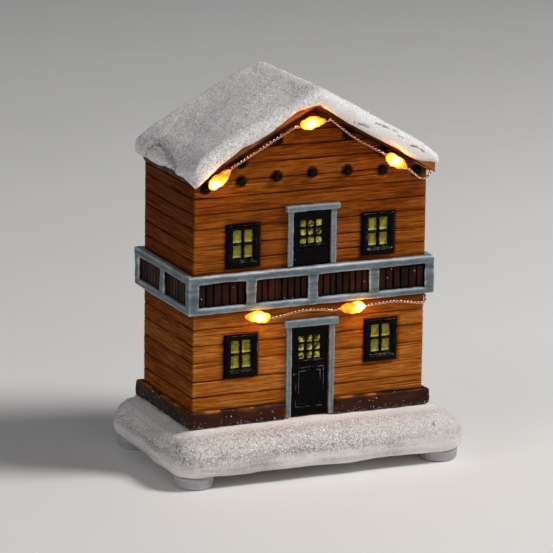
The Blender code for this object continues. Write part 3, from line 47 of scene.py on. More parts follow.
# Sizes of the solids that the painted pieces are built on
SEAT = 0.2 * MM
WALL_BOTTOM = 14.6 * MM
WALL_THICKNESS = 3.2 * MM
HOUSE_Y = 3.6 * MM
HALF_X = 35.5 * MM
HALF_Y = 17.9 * MM
FRONT_Y = HOUSE_Y - HALF_Y
REAR_Y = HOUSE_Y + HALF_Y
APEX_Z = 102.096 * MM
ROOF_ANGLE = math.radians(27.9)
ROOF_SLOPE = math.tan(ROOF_ANGLE)
BALCONY_Z = 47.3 * MM
BALCONY_TOP = 58.3 * MM
WINDOWS = {
    "upper_left": (-20.8 * MM, 65.7 * MM),
    "upper_right": (20.6 * MM, 65.8 * MM),
    "lower_left": (-21.1 * MM, 34.1 * MM),
    "lower_right": (22.0 * MM, 34.7 * MM),
}
WINDOW_HALF = (5.1 * MM, 6.2 * MM)
DOORS = {"lower": (14.8 * MM, 26.0 * MM), "upper": (58.5 * MM, 15.6 * MM)}
DOOR_HALF = 5.6 * MM
JOINERY_BACK = -1.6 * MM  # the flat backs of windows and doors, inside the walls
PANE_BACK = -1.2 * MM
ARRIS = 0.7 * MM  # radius of the walls' upright corners
LOG_RADIUS = 1.25 * MM
LOG_INSET = 3.2 * MM  # of the outermost logs from the corners
DROPS = {  # middle, tilt in degrees, and where its lamp chip glows, as a share of half its length
    "upper_left": ((-29.6, -18.3, 86.0), 38, -0.50),
    "apex": ((-1.4, -17.6, 99.7), 7, -0.25),
    "upper_right": ((24.2, -18.2, 86.783), -33, -0.30),
    "lower_left": ((-16.8, -16.1, 45.3), -7, 0.05),
    "lower_right": ((12.3, -16.1, 45.3), 2, 0.60),
}


# Camera and lamps


def linked(name, data):
    obj = bpy.data.objects.new(name, data)
    bpy.context.scene.collection.objects.link(obj)
    return obj


def add_camera():
    """At the photograph's angle, which a fit to its corners gave."""
    target = Vector((-2.35, 3.6, 50.97)) * MM
    azimuth, elevation, roll = (math.radians(a) for a in (24.21, 14.13, -0.78))
    level = math.cos(elevation)
    away = Vector((-math.sin(azimuth) * level, -math.cos(azimuth) * level, math.sin(elevation)))
    right = (-away).cross(UP).normalized()
    up = right.cross(-away)
    turned_right = right * math.cos(roll) - up * math.sin(roll)
    turned_up = right * math.sin(roll) + up * math.cos(roll)
    lens = bpy.data.cameras.new("camera")
    lens.sensor_width = 36
    lens.lens = 258.67
    lens.clip_start = 0.01
    camera = linked("camera", lens)
    turn = Matrix((turned_right, turned_up, away)).transposed().to_4x4()
    camera.matrix_world = Matrix.Translation(target + away * 1.1279) @ turn
    bpy.context.scene.camera = camera


def add_lamp(name, kind, place, power, colour):
    light = bpy.data.lights.new(name, kind)
    light.energy = power
    light.color = srgb(colour)[:3]
    lamp = linked(name, light)
    lamp.location = place
    return lamp


def add_light(name, place, aim, size, power, colour):
    """A round studio lamp that points at aim."""
    lamp = add_lamp(name, "AREA", place, power, colour)
    lamp.data.shape = "DISK"
    lamp.data.size = size
    lamp.rotation_euler = (Vector(aim) - Vector(place)).to_track_quat("-Z", "Y").to_euler()


# Materials


def srgb(code):
    """A hex colour as linear RGBA."""
    parts = [int(code[i : i + 2], 16) / 255 for i in (1, 3, 5)]
    return (*[c / 12.92 if c <= 0.04045 else ((c + 0.055) / 1.055) ** 2.4 for c in parts], 1.0)


def add(tree, kind, inputs=None, stops=None, **settings):
    """Adds a node. An input is a value, a socket, or a node for its first output; stops fill a ramp."""
    made = tree.nodes.new(kind)
    for key, value in settings.items():
        setattr(made, key, value)
    for key, value in (inputs or {}).items():
        if isinstance(value, bpy.types.Node):
            value = value.outputs[0]
        if isinstance(value, bpy.types.NodeSocket):
            tree.links.new(value, made.inputs[key])
        else:
            made.inputs[key].default_value = value
    if stops:
        elements = made.color_ramp.elements
        while len(elements) < len(stops):
            elements.new(1.0)
        for element, (position, code) in zip(elements, stops):
            element.position = position
            element.color = srgb(code)
    return made


def new_finish(name, **constants):
    """A Principled material; constants are values on the shader's own sockets."""
    material = bpy.data.materials.new(name)
    material.use_nodes = True
    tree = material.node_tree
    shader = tree.nodes["Principled BSDF"]
    for key, value in constants.items():
        shader.inputs[key.replace("_", " ")].default_value = value
    return material, tree, shader


def plug(tree, shader, **sockets):
    for key, socket in sockets.items():
        tree.links.new(socket, shader.inputs[key.replace("_", " ")])


def painted(name, stops, sizes, spread, roughness, bump, tone=True, fleck=None, **constants):
    """Brush paint over cast resin. The tone attribute, 0 in the hollows and 1 on the ridges, picks a colour
    from stops, and brush marks of the given sizes in mm move it up and down by spread."""
    material, tree, shader = new_finish(name, **constants)
    where = add(tree, "ShaderNodeTexCoord").outputs["Object"]
    stretch = add(tree, "ShaderNodeMapping", {"Vector": where, "Scale": [1000 / s for s in sizes]})
    marks = add(
        tree, "ShaderNodeTexNoise", {"Vector": stretch, "Scale": 1.0, "Detail": 4.0, "Roughness": 0.6}
    )
    centred = add(tree, "ShaderNodeMath", {0: marks.outputs["Fac"], 1: 0.5}, operation="SUBTRACT")
    spread_out = add(tree, "ShaderNodeMath", {0: centred, 1: 2.0 * spread}, operation="MULTIPLY")
    if tone:
        level = add(tree, "ShaderNodeAttribute", attribute_name="tone").outputs["Fac"]
    else:
        level = 0.5
    moved = add(tree, "ShaderNodeMath", {0: spread_out, 1: level}, operation="ADD")
    colour = add(tree, "ShaderNodeValToRGB", {0: moved}, stops=stops).outputs[0]
    if fleck:
        code, size, share = fleck
        dots = add(tree, "ShaderNodeTexVoronoi", {"Vector": where, "Scale": 1000 / size})
        near = add(tree, "ShaderNodeMath", {0: dots.outputs["Distance"], 1: 0.28}, operation="LESS_THAN")
        pick = add(tree, "ShaderNodeSeparateColor", {0: dots.outputs["Color"]})
        rare = add(tree, "ShaderNodeMath", {0: pick, 1: share}, operation="LESS_THAN")
        both = add(tree, "ShaderNodeMath", {0: near, 1: rare}, operation="MULTIPLY")
        colour = add(
            tree, "ShaderNodeMix", {"Factor": both, 6: colour, 7: srgb(code)}, data_type="RGBA"
        ).outputs[2]
    low, high = roughness
    gloss = add(
        tree, "ShaderNodeMapRange",
        {"Value": marks.outputs["Fac"], "From Min": 0.3, "From Max": 0.7, "To Min": low, "To Max": high}
    )
    raised = add(
        tree, "ShaderNodeBump", {"Height": marks.outputs["Fac"], "Distance": bump * MM, "Strength": 1.0}
    )
    plug(tree, shader, Base_Color=colour, Roughness=gloss.outputs[0], Normal=raised.outputs[0])
    return material


def glitter_snow():
    """Cast resin brushed white and strewn with fine grit: the eye gets a matt grey-white with a dark and
    bright speckle of about a third of a millimetre, painted shade and painted glints of the grit. The loose
    bright flakes are pieces of their own. The grit attribute says how strong the speckle is, and tone how
    light the paint, with painted shade and painted light in it."""
    material, tree, shader = new_finish("grit_snow_on_resin", Roughness=0.8, Specular_IOR_Level=0.3)
    where = add(tree, "ShaderNodeTexCoord").outputs["Object"]
    grains = add(tree, "ShaderNodeTexVoronoi", {"Vector": where, "Scale": 1000 / 0.30})
    grain = add(tree, "ShaderNodeSeparateColor", {0: grains.outputs["Color"]})
    cloud = add(
        tree, "ShaderNodeTexNoise", {"Vector": where, "Scale": 1000 / 0.8, "Detail": 4.0, "Roughness": 0.75}
    )
    tone = add(tree, "ShaderNodeAttribute", attribute_name="tone").outputs["Fac"]
    grit = add(tree, "ShaderNodeAttribute", attribute_name="grit").outputs["Fac"]
    both = add(tree, "ShaderNodeMath", {0: grain, 1: cloud.outputs["Fac"]}, operation="ADD")
    centred = add(tree, "ShaderNodeMath", {0: both, 1: 1.0}, operation="SUBTRACT")
    level = add(tree, "ShaderNodeMath", {0: centred, 1: grit, 2: tone}, operation="MULTIPLY_ADD")
    colour = add(
        tree,
        "ShaderNodeValToRGB",
        {0: level},
        stops=[(0.0, "#4A4846"), (0.25, "#A4A09E"), (0.5, "#DAD6D4"), (0.75, "#EEEAE8"), (1.0, "#FCFAFA")],
    )
    height = add(tree, "ShaderNodeMath", {0: centred, 1: grit}, operation="MULTIPLY")
    raised = add(tree, "ShaderNodeBump", {"Height": height, "Distance": 0.10 * MM, "Strength": 1.0})
    plug(tree, shader, Base_Color=colour.outputs[0], Normal=raised.outputs[0])
    return material


def lamp_resin():
    """A clear epoxy drop lit from inside by its chip: white-yellow at the core, amber to its thin ends."""
    material, tree, shader = new_finish("lit_epoxy_drop", Roughness=0.15, IOR=1.5)
    core = add(tree, "ShaderNodeAttribute", attribute_name="tone").outputs["Fac"]
    colour = add(
        tree,
        "ShaderNodeValToRGB",
        {0: core},
        stops=[(0.0, "#C86408"), (0.22, "#EE9A1E"), (0.42, "#FFC444"), (0.65, "#FFE288"), (1.0, "#FFF9DC")],
    )
    power = add(
        tree, "ShaderNodeMapRange",
        {"Value": core, "From Min": 0.0, "From Max": 1.0, "To Min": 0.6, "To Max": 3.8}
    )
    light = colour.outputs[0]
    plug(tree, shader, Base_Color=light, Emission_Color=light, Emission_Strength=power.outputs[0])
    return material


def metal(name, stops, size, roughness):
    """Bare or enamelled metal, with handling marks of the given size in mm."""
    material, tree, shader = new_finish(name, Metallic=1.0)
    where = add(tree, "ShaderNodeTexCoord").outputs["Object"]
    marks = add(tree, "ShaderNodeTexNoise", {"Vector": where, "Scale": 1000 / size, "Detail": 3.0})
    colour = add(tree, "ShaderNodeValToRGB", {0: marks.outputs["Fac"]}, stops=stops)
    low, high = roughness
    gloss = add(tree, "ShaderNodeMapRange", {"Value": marks.outputs["Fac"], "To Min": low, "To Max": high})
    plug(tree, shader, Base_Color=colour.outputs[0], Roughness=gloss.outputs[0])
    return material


SNOW = glitter_snow()
# Acrylic paint over the planked casting: orange-ochre ridges, a dark umber wash that settles in the grooves;
# the walls' tone also carries painted shade and painted highlights
TIMBER = painted(
    "ochre_paint_on_planks",
    [
        (0.0, "#160501"), (0.25, "#3E1605"), (0.5, "#69320A"), (0.72, "#9F591B"), (0.9, "#CC8440"),
        (1.0, "#EAAA70")
    ],
    (2.2, 2.2, 0.30), 0.13, (0.6, 0.8), 0.05, Specular_IOR_Level=0.03,
)
# The same paint, thinner and darker, brushed out along the slope of the soffit
EAVE_TIMBER = painted(
    "dark_ochre_paint_on_soffit",
    [(0.0, "#140602"), (0.4, "#3E1A07"), (0.7, "#7A3E10"), (1.0, "#B4702A")],
    (0.5, 3.0, 0.5), 0.22, (0.5, 0.7), 0.05, Specular_IOR_Level=0.2,
)
# Dark red-brown paint on the foot of the walls, with stray specks of the snow paint
UMBER = painted(
    "umber_paint_on_plinth",
    [(0.0, "#0C0402"), (0.4, "#2A120A"), (0.7, "#462010"), (0.86, "#783E16"), (1.0, "#A8681E")],
    (4.0, 4.0, 1.6), 0.14, (0.4, 0.6), 0.05, fleck=("#D8D0CC", 0.7, 0.03), Specular_IOR_Level=0.12,
)
# Thin red-brown paint on the slats, different on each board
SLAT_BROWN = painted(
    "red_brown_paint_on_slats",
    [(0.0, "#040201"), (0.35, "#150603"), (0.65, "#341209"), (1.0, "#6E3626")],
    (0.8, 0.8, 5.0), 0.32, (0.45, 0.65), 0.04, fleck=("#C8B8B0", 0.6, 0.012), Specular_IOR_Level=0.12,
)
# Blue-grey paint on balcony and door frames: dry-brushed nearly white on the edges
BALCONY_GREY = painted(
    "blue_grey_paint_on_rails",
    [
        (0.0, "#16191A"), (0.3, "#465056"), (0.5, "#66737A"), (0.7, "#8C9AA2"), (0.88, "#BAC4CA"),
        (1.0, "#DCE0E2")
    ],
    (3.5, 3.5, 0.7), 0.13, (0.4, 0.6), 0.03, Specular_IOR_Level=0.3,
)
# Near-black glossy paint on windows and doors, brown where it is thin; its light grey stops are painted
# highlights
NEAR_BLACK = painted(
    "black_brown_gloss_paint",
    [(0.0, "#010101"), (0.55, "#040202"), (0.75, "#181012"), (0.9, "#544C52"), (1.0, "#9C969C")],
    (1.2, 1.2, 1.2), 0.06, (0.16, 0.30), 0.05, fleck=("#B8B4B0", 0.6, 0.004), Specular_IOR_Level=0.06,
)
# Olive-yellow paint that has run down and pooled pale along the lower edge of each pane
WINDOW_YELLOW = painted(
    "olive_yellow_paint_on_panes",
    [
        (0.0, "#080601"), (0.2, "#2E2A04"), (0.4, "#8A8214"), (0.62, "#B2AA2C"), (0.82, "#DAD468"),
        (1.0, "#F6F2B4")
    ],
    (0.5, 0.5, 3.0), 0.14, (0.3, 0.5), 0.04, Specular_IOR_Level=0.3,
)
LOG_BLACK = painted(
    "black_brown_paint_on_logs",
    [(0.0, "#010101"), (0.6, "#050302"), (1.0, "#150A05")],
    (0.8, 0.8, 0.8), 0.2, (0.35, 0.55), 0.05, Specular_IOR_Level=0.1,
)
# Soft white vinyl of the stick-on feet, slightly dirty
FOOT_VINYL = painted(
    "white_vinyl_feet",
    [(0.0, "#706C70"), (0.5, "#A29EA2"), (1.0, "#CCC8CC")],
    (1.5, 1.5, 1.5), 0.2, (0.5, 0.7), 0.02,
)
# Stray specks of snow paint on the dark plinth
SPECK = painted(
    "specks_of_snow_paint",
    [(0.0, "#B8B2AE"), (1.0, "#F0ECEA")],
    (0.5, 0.5, 0.5), 0.4, (0.6, 0.8), 0.0, tone=False,
)
LAMP = lamp_resin()
# Loose polyester glitter: tiny mirror plates, a few of which flash white while the rest stay grey
GLITTER = metal("polyester_glitter", [(0.3, "#E4E6EA"), (0.7, "#FFFFFF")], 0.6, (0.18, 0.3))
# Enamelled copper wire: pinkish copper with a slight gloss
COPPER = metal("enamelled_copper_wire", [(0.3, "#D49478"), (0.7, "#FCD0B4")], 0.8, (0.20, 0.32))
NICKEL = metal("nickel_plated_steel", [(0.3, "#B4B0A8"), (0.7, "#D6D2CA")], 1.5, (0.25, 0.4))
# Moulded ABS of the battery box, with a fine spark-eroded grain
BOX_PLASTIC = painted(
    "moulded_grey_abs",
    [(0.0, "#B0AEAA"), (1.0, "#D0CECA")],
    (0.35, 0.35, 0.35), 0.4, (0.45, 0.6), 0.02, tone=False,
)
CELL_WRAP = painted(
    "printed_pvc_cell_wrap",
    [(0.0, "#1A3848"), (1.0, "#2C5468")],
    (3.0, 3.0, 3.0), 0.3, (0.25, 0.4), 0.01, tone=False,
)
SWITCH_BLACK = painted(
    "moulded_black_nylon",
    [(0.0, "#0E0E10"), (1.0, "#1C1C1E")],
    (0.4, 0.4, 0.4), 0.4, (0.45, 0.6), 0.02, tone=False,
)
FLOOR = painted(
    "matt_pale_card",
    [(0.0, "#EFEEEC"), (1.0, "#F4F3F1")],
    (60.0, 60.0, 60.0), 0.3, (0.8, 0.9), 0.0, tone=False,
)


# Noise and mesh helpers


def smooth_noise(points, size, seed):
    """Value noise from -1 to 1 at points, in blobs of the given size, which may be one per axis."""
    scaled = points / size + seed * 7.31
    cell = np.floor(scaled).astype(np.int64)
    part = scaled - cell
    part = part * part * (3 - 2 * part)
    total = np.zeros(len(points))
    for corner in itertools.product((0, 1), repeat=3):
        c = cell + corner
        h = (c[:, 0] * 374761393 + c[:, 1] * 668265263 + c[:, 2] * 1442695041 + seed * 974634777) & 0xFFFFFFFF
        h = ((h ^ (h >> 13)) * 1274126177) & 0xFFFFFFFF
        h ^= h >> 16
        total += (h / 2147483648 - 1) * np.prod(np.where(corner, part, 1 - part), axis=1)
    return total


def rough_noise(points, size, seed, octaves=3):
    """Value noise with finer and weaker noise added to it."""
    size = np.asarray(size, float)
    return sum(smooth_noise(points, size / 2**k, seed + 5 * k) * 0.5**k for k in range(octaves))


def line_noise(along, size, seed):
    """Smooth noise along one direction."""
    points = np.zeros((along.size, 3))
    points[:, 0] = along.ravel()
    return smooth_noise(points, size, seed).reshape(along.shape)


def bell(distance, width):
    """One where the distance is zero, fading to nothing about two widths away."""
    return np.exp(-((distance / width) ** 2))


def set_values(mesh, name, values):
    layer = mesh.attributes.get(name) or mesh.attributes.new(name, "FLOAT", "POINT")
    layer.data.foreach_set("value", np.ascontiguousarray(values, dtype=np.float32))


def set_tone(mesh, values):
    set_values(mesh, "tone", np.clip(values, 0, 1))


def move_points(mesh, points):
    mesh.vertices.foreach_set("co", points.ravel())
    mesh.update()


def mesh_from(bm, name):
    """A new mesh with what a bmesh holds. The bmesh is freed."""
    mesh = bpy.data.meshes.new(name)
    bm.to_mesh(mesh)
    bm.free()
    return mesh


def merged(mesh, distance):
    """The mesh itself, with points that coincide made one."""
    bm = bmesh.new()
    bm.from_mesh(mesh)
    bmesh.ops.remove_doubles(bm, verts=bm.verts, dist=distance)
    bm.to_mesh(mesh)
    bm.free()
    return mesh


def grid_faces(rows, columns):
    index = np.arange(rows * columns).reshape(rows, columns)
    corners = (index[:-1, :-1], index[:-1, 1:], index[1:, 1:], index[1:, :-1])
    return np.stack(corners, axis=-1).reshape(-1, 4)


def corner_points(mesh, kind="co"):
    values = np.zeros(len(mesh.vertices) * 3)
    mesh.vertices.foreach_get(kind, values)
    return values.reshape(-1, 3)


def finished(name, mesh, finish, nodes, body="house"):
    """Links a piece, gives it its finish, hangs it on its body and hides the solids it stands in for."""
    mesh.name = name
    mesh.materials.clear()
    mesh.materials.append(finish)
    mesh.shade_smooth()
    piece = linked(name, mesh)
    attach(piece, body)
    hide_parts(*nodes)


def plain_mesh(obj):
    """The evaluated mesh of a helper object, which is then removed."""
    bpy.context.view_layer.update()
    mesh = bpy.data.meshes.new_from_object(obj.evaluated_get(bpy.context.evaluated_depsgraph_get()))
    bpy.data.objects.remove(obj, do_unlink=True)
    return mesh


def ridges(mesh, points, normals, rounds):
    """How far each vertex stands above its neighbours: above zero on ridges, below in hollows."""
    pairs = np.zeros(len(mesh.edges) * 2, int)
    mesh.edges.foreach_get("vertices", pairs)
    a, b = pairs.reshape(-1, 2).T
    count = np.bincount(np.concatenate((a, b)), minlength=len(points))[:, None]

    def around(values):
        total = np.zeros_like(values)
        np.add.at(total, a, values[b])
        np.add.at(total, b, values[a])
        return total / np.maximum(count, 1)

    middle = points
    for _ in range(rounds):
        middle = around(middle)
    return np.einsum("ij,ij->i", points - middle, normals)


def worked_copy(node, voxel, softness, lumps, seed, ridge_scale):
    """A worked_mesh from a merged copy of a solid."""
    copy = merged(joined([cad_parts[node].data]), 1e-6)
    return worked_mesh(copy, voxel, softness, lumps, seed, ridge_scale)


def worked_mesh(mesh, voxel, softness, lumps, seed, ridge_scale):
    """A shape meshed evenly, its edges softened as in a worn mould and its faces moved by lumps, a list of
    (size, amount). Its tone is a half, more on ridges and less in hollows."""
    obj = linked("helper", mesh)
    even = obj.modifiers.new("even", "REMESH")
    even.mode = "VOXEL"
    even.voxel_size = voxel
    soft = obj.modifiers.new("soft", "SMOOTH")
    soft.iterations = softness
    mesh = plain_mesh(obj)
    points = corner_points(mesh)
    normals = corner_points(mesh, "normal")
    for k, (size, amount) in enumerate(lumps):
        points = points + normals * (amount * rough_noise(points, size, seed + 11 * k))[:, None]
    move_points(mesh, points)
    normals = corner_points(mesh, "normal")
    set_tone(mesh, 0.5 + ridges(mesh, points, normals, 4) / ridge_scale)
    return mesh, points, normals


def slab(place, u, v, out, tone, back, mitre=0.0):
    """A closed relief: a grid of rows v by columns u that stands out from a wall, with a skirt to its flat
    back. place turns arrays of (u, v, out) into points. Rows that coincide at a clipped edge are merged."""
    mesh = bpy.data.meshes.new("relief")
    points = place(u.ravel(), v.ravel(), out.ravel())
    mesh.from_pydata(points.tolist(), [], grid_faces(*u.shape).tolist())
    set_tone(mesh, tone.ravel())
    bm = bmesh.new()
    bm.from_mesh(mesh)
    bmesh.ops.remove_doubles(bm, verts=bm.verts, dist=2e-6)
    bmesh.ops.dissolve_degenerate(bm, dist=1e-6, edges=bm.edges)
    rim = [e for e in bm.edges if e.is_boundary]
    grown = bmesh.ops.extrude_edge_only(bm, edges=rim)["geom"]
    origin = Vector(place(np.zeros(1), np.zeros(1), np.zeros(1))[0])
    outward = Vector(place(np.zeros(1), np.zeros(1), np.ones(1))[0]) - origin
    along = Vector(place(np.ones(1), np.zeros(1), np.zeros(1))[0]) - origin
    ends = (u.min(), u.max())
    for vert in grown:
        if isinstance(vert, bmesh.types.BMVert):
            depth = (vert.co - origin).dot(outward)
            across = (vert.co - origin).dot(along)
            vert.co += outward * (back - depth)
            if mitre and across - ends[0] < mitre / 4:
                vert.co += along * (mitre - (across - ends[0]))
            elif mitre and ends[1] - across < mitre / 4:
                vert.co -= along * (mitre - (ends[1] - across))
    edges = [e for e in grown if isinstance(e, bmesh.types.BMEdge) and e.is_boundary]
    bmesh.ops.contextual_create(bm, geom=edges)
    bmesh.ops.triangulate(bm, faces=[f for f in bm.faces if len(f.verts) > 4])
    bm.to_mesh(mesh)
    bm.free()
    return mesh


def facing(origin, along):
    """A place function for reliefs: u runs along, v up, and out away from the wall."""
    along = Vector(along)
    outward = along.cross(UP)

    def place(u, v, out):
        return (
            np.array(origin)
            + np.outer(u, np.array(along))
            + np.outer(v, np.array(UP))
            + np.outer(out, np.array(outward))
        )

    return place


def joined(meshes):
    bm = bmesh.new()
    for mesh in meshes:
        bm.from_mesh(mesh)
    return mesh_from(bm, "joined")


def edge_drop(distance, radius):
    """How far a rounded edge falls away at a distance in from it."""
    inside = np.clip(radius - distance, 0, radius)
    return radius - np.sqrt(np.maximum(radius**2 - inside**2, 0))


def round_corners(u, v, half_u, half_v, radius):
    """Pulls the corners of a rectangular grid in to a rounded outline."""
    over_u = np.abs(u) - (half_u - radius)
    over_v = np.abs(v) - (half_v - radius)
    reach = np.hypot(over_u, over_v)
    outside = (over_u > 0) & (over_v > 0) & (reach > radius)
    scale = np.where(outside, radius / np.maximum(reach, 1e-9), 1.0)
    new_u = np.where(outside, np.sign(u) * (half_u - radius + over_u * scale), u)
    new_v = np.where(outside, np.sign(v) * (half_v - radius + over_v * scale), v)
    return new_u, new_v


# Planked walls

GROOVES = [
    h * MM
    for h in (
        18.9, 23.1, 27.7, 33.0, 38.0, 42.5, 47.4, 52.5, 57.4, 62.1, 66.4, 71.2, 75.5, 80.0, 84.3, 89.0, 93.2,
        97.2
    )
]


def plank_shape(u, z, seed, roughness):
    """How far the planks stand out, and their tone: rounded boards, deep joints, and finer scored lines,
    each with a painted highlight on the lip below it.
    """
    rng = np.random.default_rng(seed)
    joint = np.zeros_like(u)
    crown = np.zeros_like(u)
    level = np.full_like(u, -1.0)
    heights = [WALL_BOTTOM - 4 * MM, *GROOVES, APEX_Z + 4 * MM]
    row = u[:1]
    wander = [
        h + 0.22 * MM * line_noise(row, 14 * MM, seed + k)
        + 0.07 * MM * line_noise(row, 1.8 * MM, seed + 40 + k)
        for k, h in enumerate(heights)
    ]
    for k in range(1, len(heights) - 1):
        strength = 0.58 + 0.50 * line_noise(row, 7 * MM, seed + 80 + k)
        away = (z - wander[k]) / (0.13 * MM * (1 + 0.35 * line_noise(row, 3 * MM, seed + 120 + k)))
        joint = np.maximum(joint, np.clip(strength, 0.2, 1.0) * np.exp(-(away**2)))
    for k in range(len(heights) - 1):
        inside = (z >= wander[k]) & (z < wander[k + 1])
        part = np.clip((z - wander[k]) / (wander[k + 1] - wander[k]), 0, 1)
        crown = np.where(inside, 1 - (2 * part - 1) ** 4, crown)
        level = np.where(inside, rng.uniform(-1, 1), level)
    score = np.zeros_like(u)
    lit = np.zeros_like(u)
    low_u, high_u = u.min(), u.max()
    for k in range(len(heights) - 1):
        for fraction in np.linspace(0.08, 0.94, 13) + rng.uniform(-0.05, 0.05, 13):
            start = rng.uniform(low_u - 20 * MM, high_u)
            length = rng.uniform(4, 26) * MM
            deep = rng.uniform(0.25, 1.0)
            wide = rng.uniform(0.06, 0.11) * MM
            line = wander[k] + fraction * (heights[k + 1] - heights[k])
            line = line + 0.16 * MM * line_noise(row, 7 * MM, seed + int(fraction * 1000) + 13 * k)
            ends = np.clip((row - start) / (2 * MM), 0, 1) * np.clip((start + length - row) / (2 * MM), 0, 1)
            score = np.maximum(score, ends * deep * bell(z - line, wide))
            # A thin painted highlight just below each scored line, as if lit from above
            lit = np.maximum(lit, ends * deep * bell(z - line + 2.4 * wide, 1.4 * wide))
    flat = np.stack((u.ravel(), z.ravel(), np.full(u.size, seed * MM)), axis=1)
    fibre = rough_noise(flat, np.array((4.5, 0.45, 6.0)) * MM, seed + 3, 2).reshape(u.shape)
    patch = rough_noise(flat, np.array((12.0, 5.0, 9.0)) * MM, seed + 9, 2).reshape(u.shape)
    out = (
        0.10 * MM * crown - 0.42 * MM * joint - 0.16 * MM * score * roughness + 0.09 * MM * fibre
        + 0.05 * MM * patch
    )
    tone = (
        0.70 + 0.05 * crown - 0.56 * joint - 0.46 * score * roughness + 0.10 * fibre + 0.05 * patch
        + 0.03 * level
    )
    tone = tone + 0.16 * lit - 0.02
    return out, tone


def columns_for(length, step, edges):
    """Positions along a wall: even steps, a rounded arris at both ends, and pairs at the sides of pockets."""
    arris = [ARRIS - ARRIS * math.sin(a) for a in np.radians((45, 33, 22, 11, 0))]
    arris = [a - arris[0] for a in arris]
    inner = list(np.linspace(arris[-1], length - arris[-1], round(length / step)))
    extra = [e + d * MM for e in edges for d in (-0.45, -0.25, -0.05, 0.05, 0.25)]
    inner = [a for a in inner if all(abs(a - e) > 0.12 * MM for e in extra)]
    return np.array(sorted([*arris[:-1], *inner, *extra, *[length - a for a in arris[:-1]]]))


def plank_wall(name, origin, along, length, pockets, gable, seed, roughness, step, stain_and_shade=0.0):
    """One wall, with a sunk pocket behind each window and door, and darkened by stain_and_shade, which is
    darker paint and painted shade together.
    """
    edges = sorted({e for low, high, _, _ in pockets for e in (low, high)})
    us = columns_for(length, step, edges)
    top = APEX_Z - SEAT if gable else APEX_Z - ROOF_SLOPE * HALF_X - 0.3 * MM
    levels = {e for _, _, low, high in pockets for e in (low, high)}
    vs = [z for z in np.arange(WALL_BOTTOM, top, 0.118 * MM) if all(abs(z - e) > 0.06 * MM for e in levels)]
    vs = np.array(sorted([*vs, top, *[e + d * MM for e in levels for d in (-0.03, 0.03)]]))
    u, z = np.meshgrid(us, vs)
    out, tone = plank_shape(u, z, seed, roughness)
    # The arris: both walls that meet there drop by the same amount, which follows the height alone
    reach = ARRIS * (1 - math.sqrt(0.5))
    for inward in (u, length - u):
        near = np.clip(1 - inward / (1.2 * MM), 0, 1)
        corner_out = plank_shape(np.zeros_like(z[:, :1]), z[:, :1], 77, 1.0)[0]
        out = out * (1 - near) + np.where(near > 0, corner_out, 0) * near
        out = out - np.where(inward < 2 * ARRIS, edge_drop(inward + reach, ARRIS), 0)
        tone = tone + 0.10 * near * (0.5 + line_noise(z, 2.2 * MM, seed + 5))
    hole = np.zeros_like(u, bool)
    for low, high, bottom, above in pockets:
        apart = np.maximum(np.maximum(low - u, u - high), np.maximum(bottom - z, z - above))
        hole |= apart < 0
        # Painted shade round each window and door
        tone = tone - 0.32 * bell(np.maximum(apart, 0), 0.40 * MM)
    out = np.where(hole, -1.9 * MM, out)
    # Painted shade just under the balcony, a darker band just over it, and painted shade growing towards the
    # roof
    for level, reach_up, reach_down, amount in ((BALCONY_Z, 0.1, 1.1, 0.28), (BALCONY_TOP, 0.8, 0.1, 0.18)):
        span = np.where(z > level, reach_up, reach_down) * MM
        tone = tone - amount * bell(z - level, span)
    tone = tone - stain_and_shade - 0.15 * np.clip((z - 44 * MM) / (30 * MM), 0, 1)
    if gable and pockets:
        # Painted shade round each log end, with a faint painted light ring beyond it
        for x, height in log_places():
            apart = np.hypot(u - HALF_X - x, z - height) - LOG_RADIUS
            tone = (
                tone - 0.34 * bell(np.maximum(apart, 0), 0.5 * MM) + 0.08 * bell(apart - 0.9 * MM, 0.4 * MM)
            )
    if gable:
        roof = APEX_Z - ROOF_SLOPE * np.abs(u - length / 2)
        # Painted shadow of the eaves along the top of the gable
        tone = tone - 0.16 * bell(roof - z, 1.6 * MM)
        z = np.minimum(z, roof)
    place = facing(origin, along)
    mesh = slab(place, u, z, out, tone, -WALL_THICKNESS, WALL_THICKNESS)
    finished(name, mesh, TIMBER, ["house_walls"])


def add_walls():
    pockets = []
    for x, z in WINDOWS.values():
        half_u, half_v = WINDOW_HALF
        pockets.append((x - half_u + HALF_X, x + half_u + HALF_X, z - half_v, z + half_v))
    for bottom, height in DOORS.values():
        pockets.append((HALF_X - DOOR_HALF, HALF_X + DOOR_HALF, bottom, bottom + height))
    width, depth = 2 * HALF_X, 2 * HALF_Y
    plank_wall("wall_front", (-HALF_X, FRONT_Y, 0), (1, 0, 0), width, pockets, True, 3, 1.0, 0.95 * MM)
    plank_wall("wall_right", (HALF_X, FRONT_Y, 0), (0, 1, 0), depth, [], False, 21, 1.3, 0.7 * MM)
    plank_wall("wall_rear", (HALF_X, REAR_Y, 0), (-1, 0, 0), width, [], True, 34, 1.2, 0.95 * MM)
    # The left wall is darker: darker paint and painted shade on the side away from the key light
    plank_wall("wall_left", (-HALF_X, REAR_Y, 0), (0, -1, 0), depth, [], False, 47, 1.1, 0.7 * MM, 0.17)


# Windows and doors


def grid(half_u, half_v, step):
    columns = round(2 * half_u / step) + 1
    rows = round(2 * half_v / step) + 1
    return np.meshgrid(np.linspace(-half_u, half_u, columns), np.linspace(-half_v, half_v, rows))


def bumps(u, v, size, seed):
    """Noise over a flat face, other for each seed."""
    flat = np.stack((u.ravel(), v.ravel(), np.full(u.size, 3.3 * MM * seed)), axis=1)
    return rough_noise(flat, size, seed, 2).reshape(u.shape)


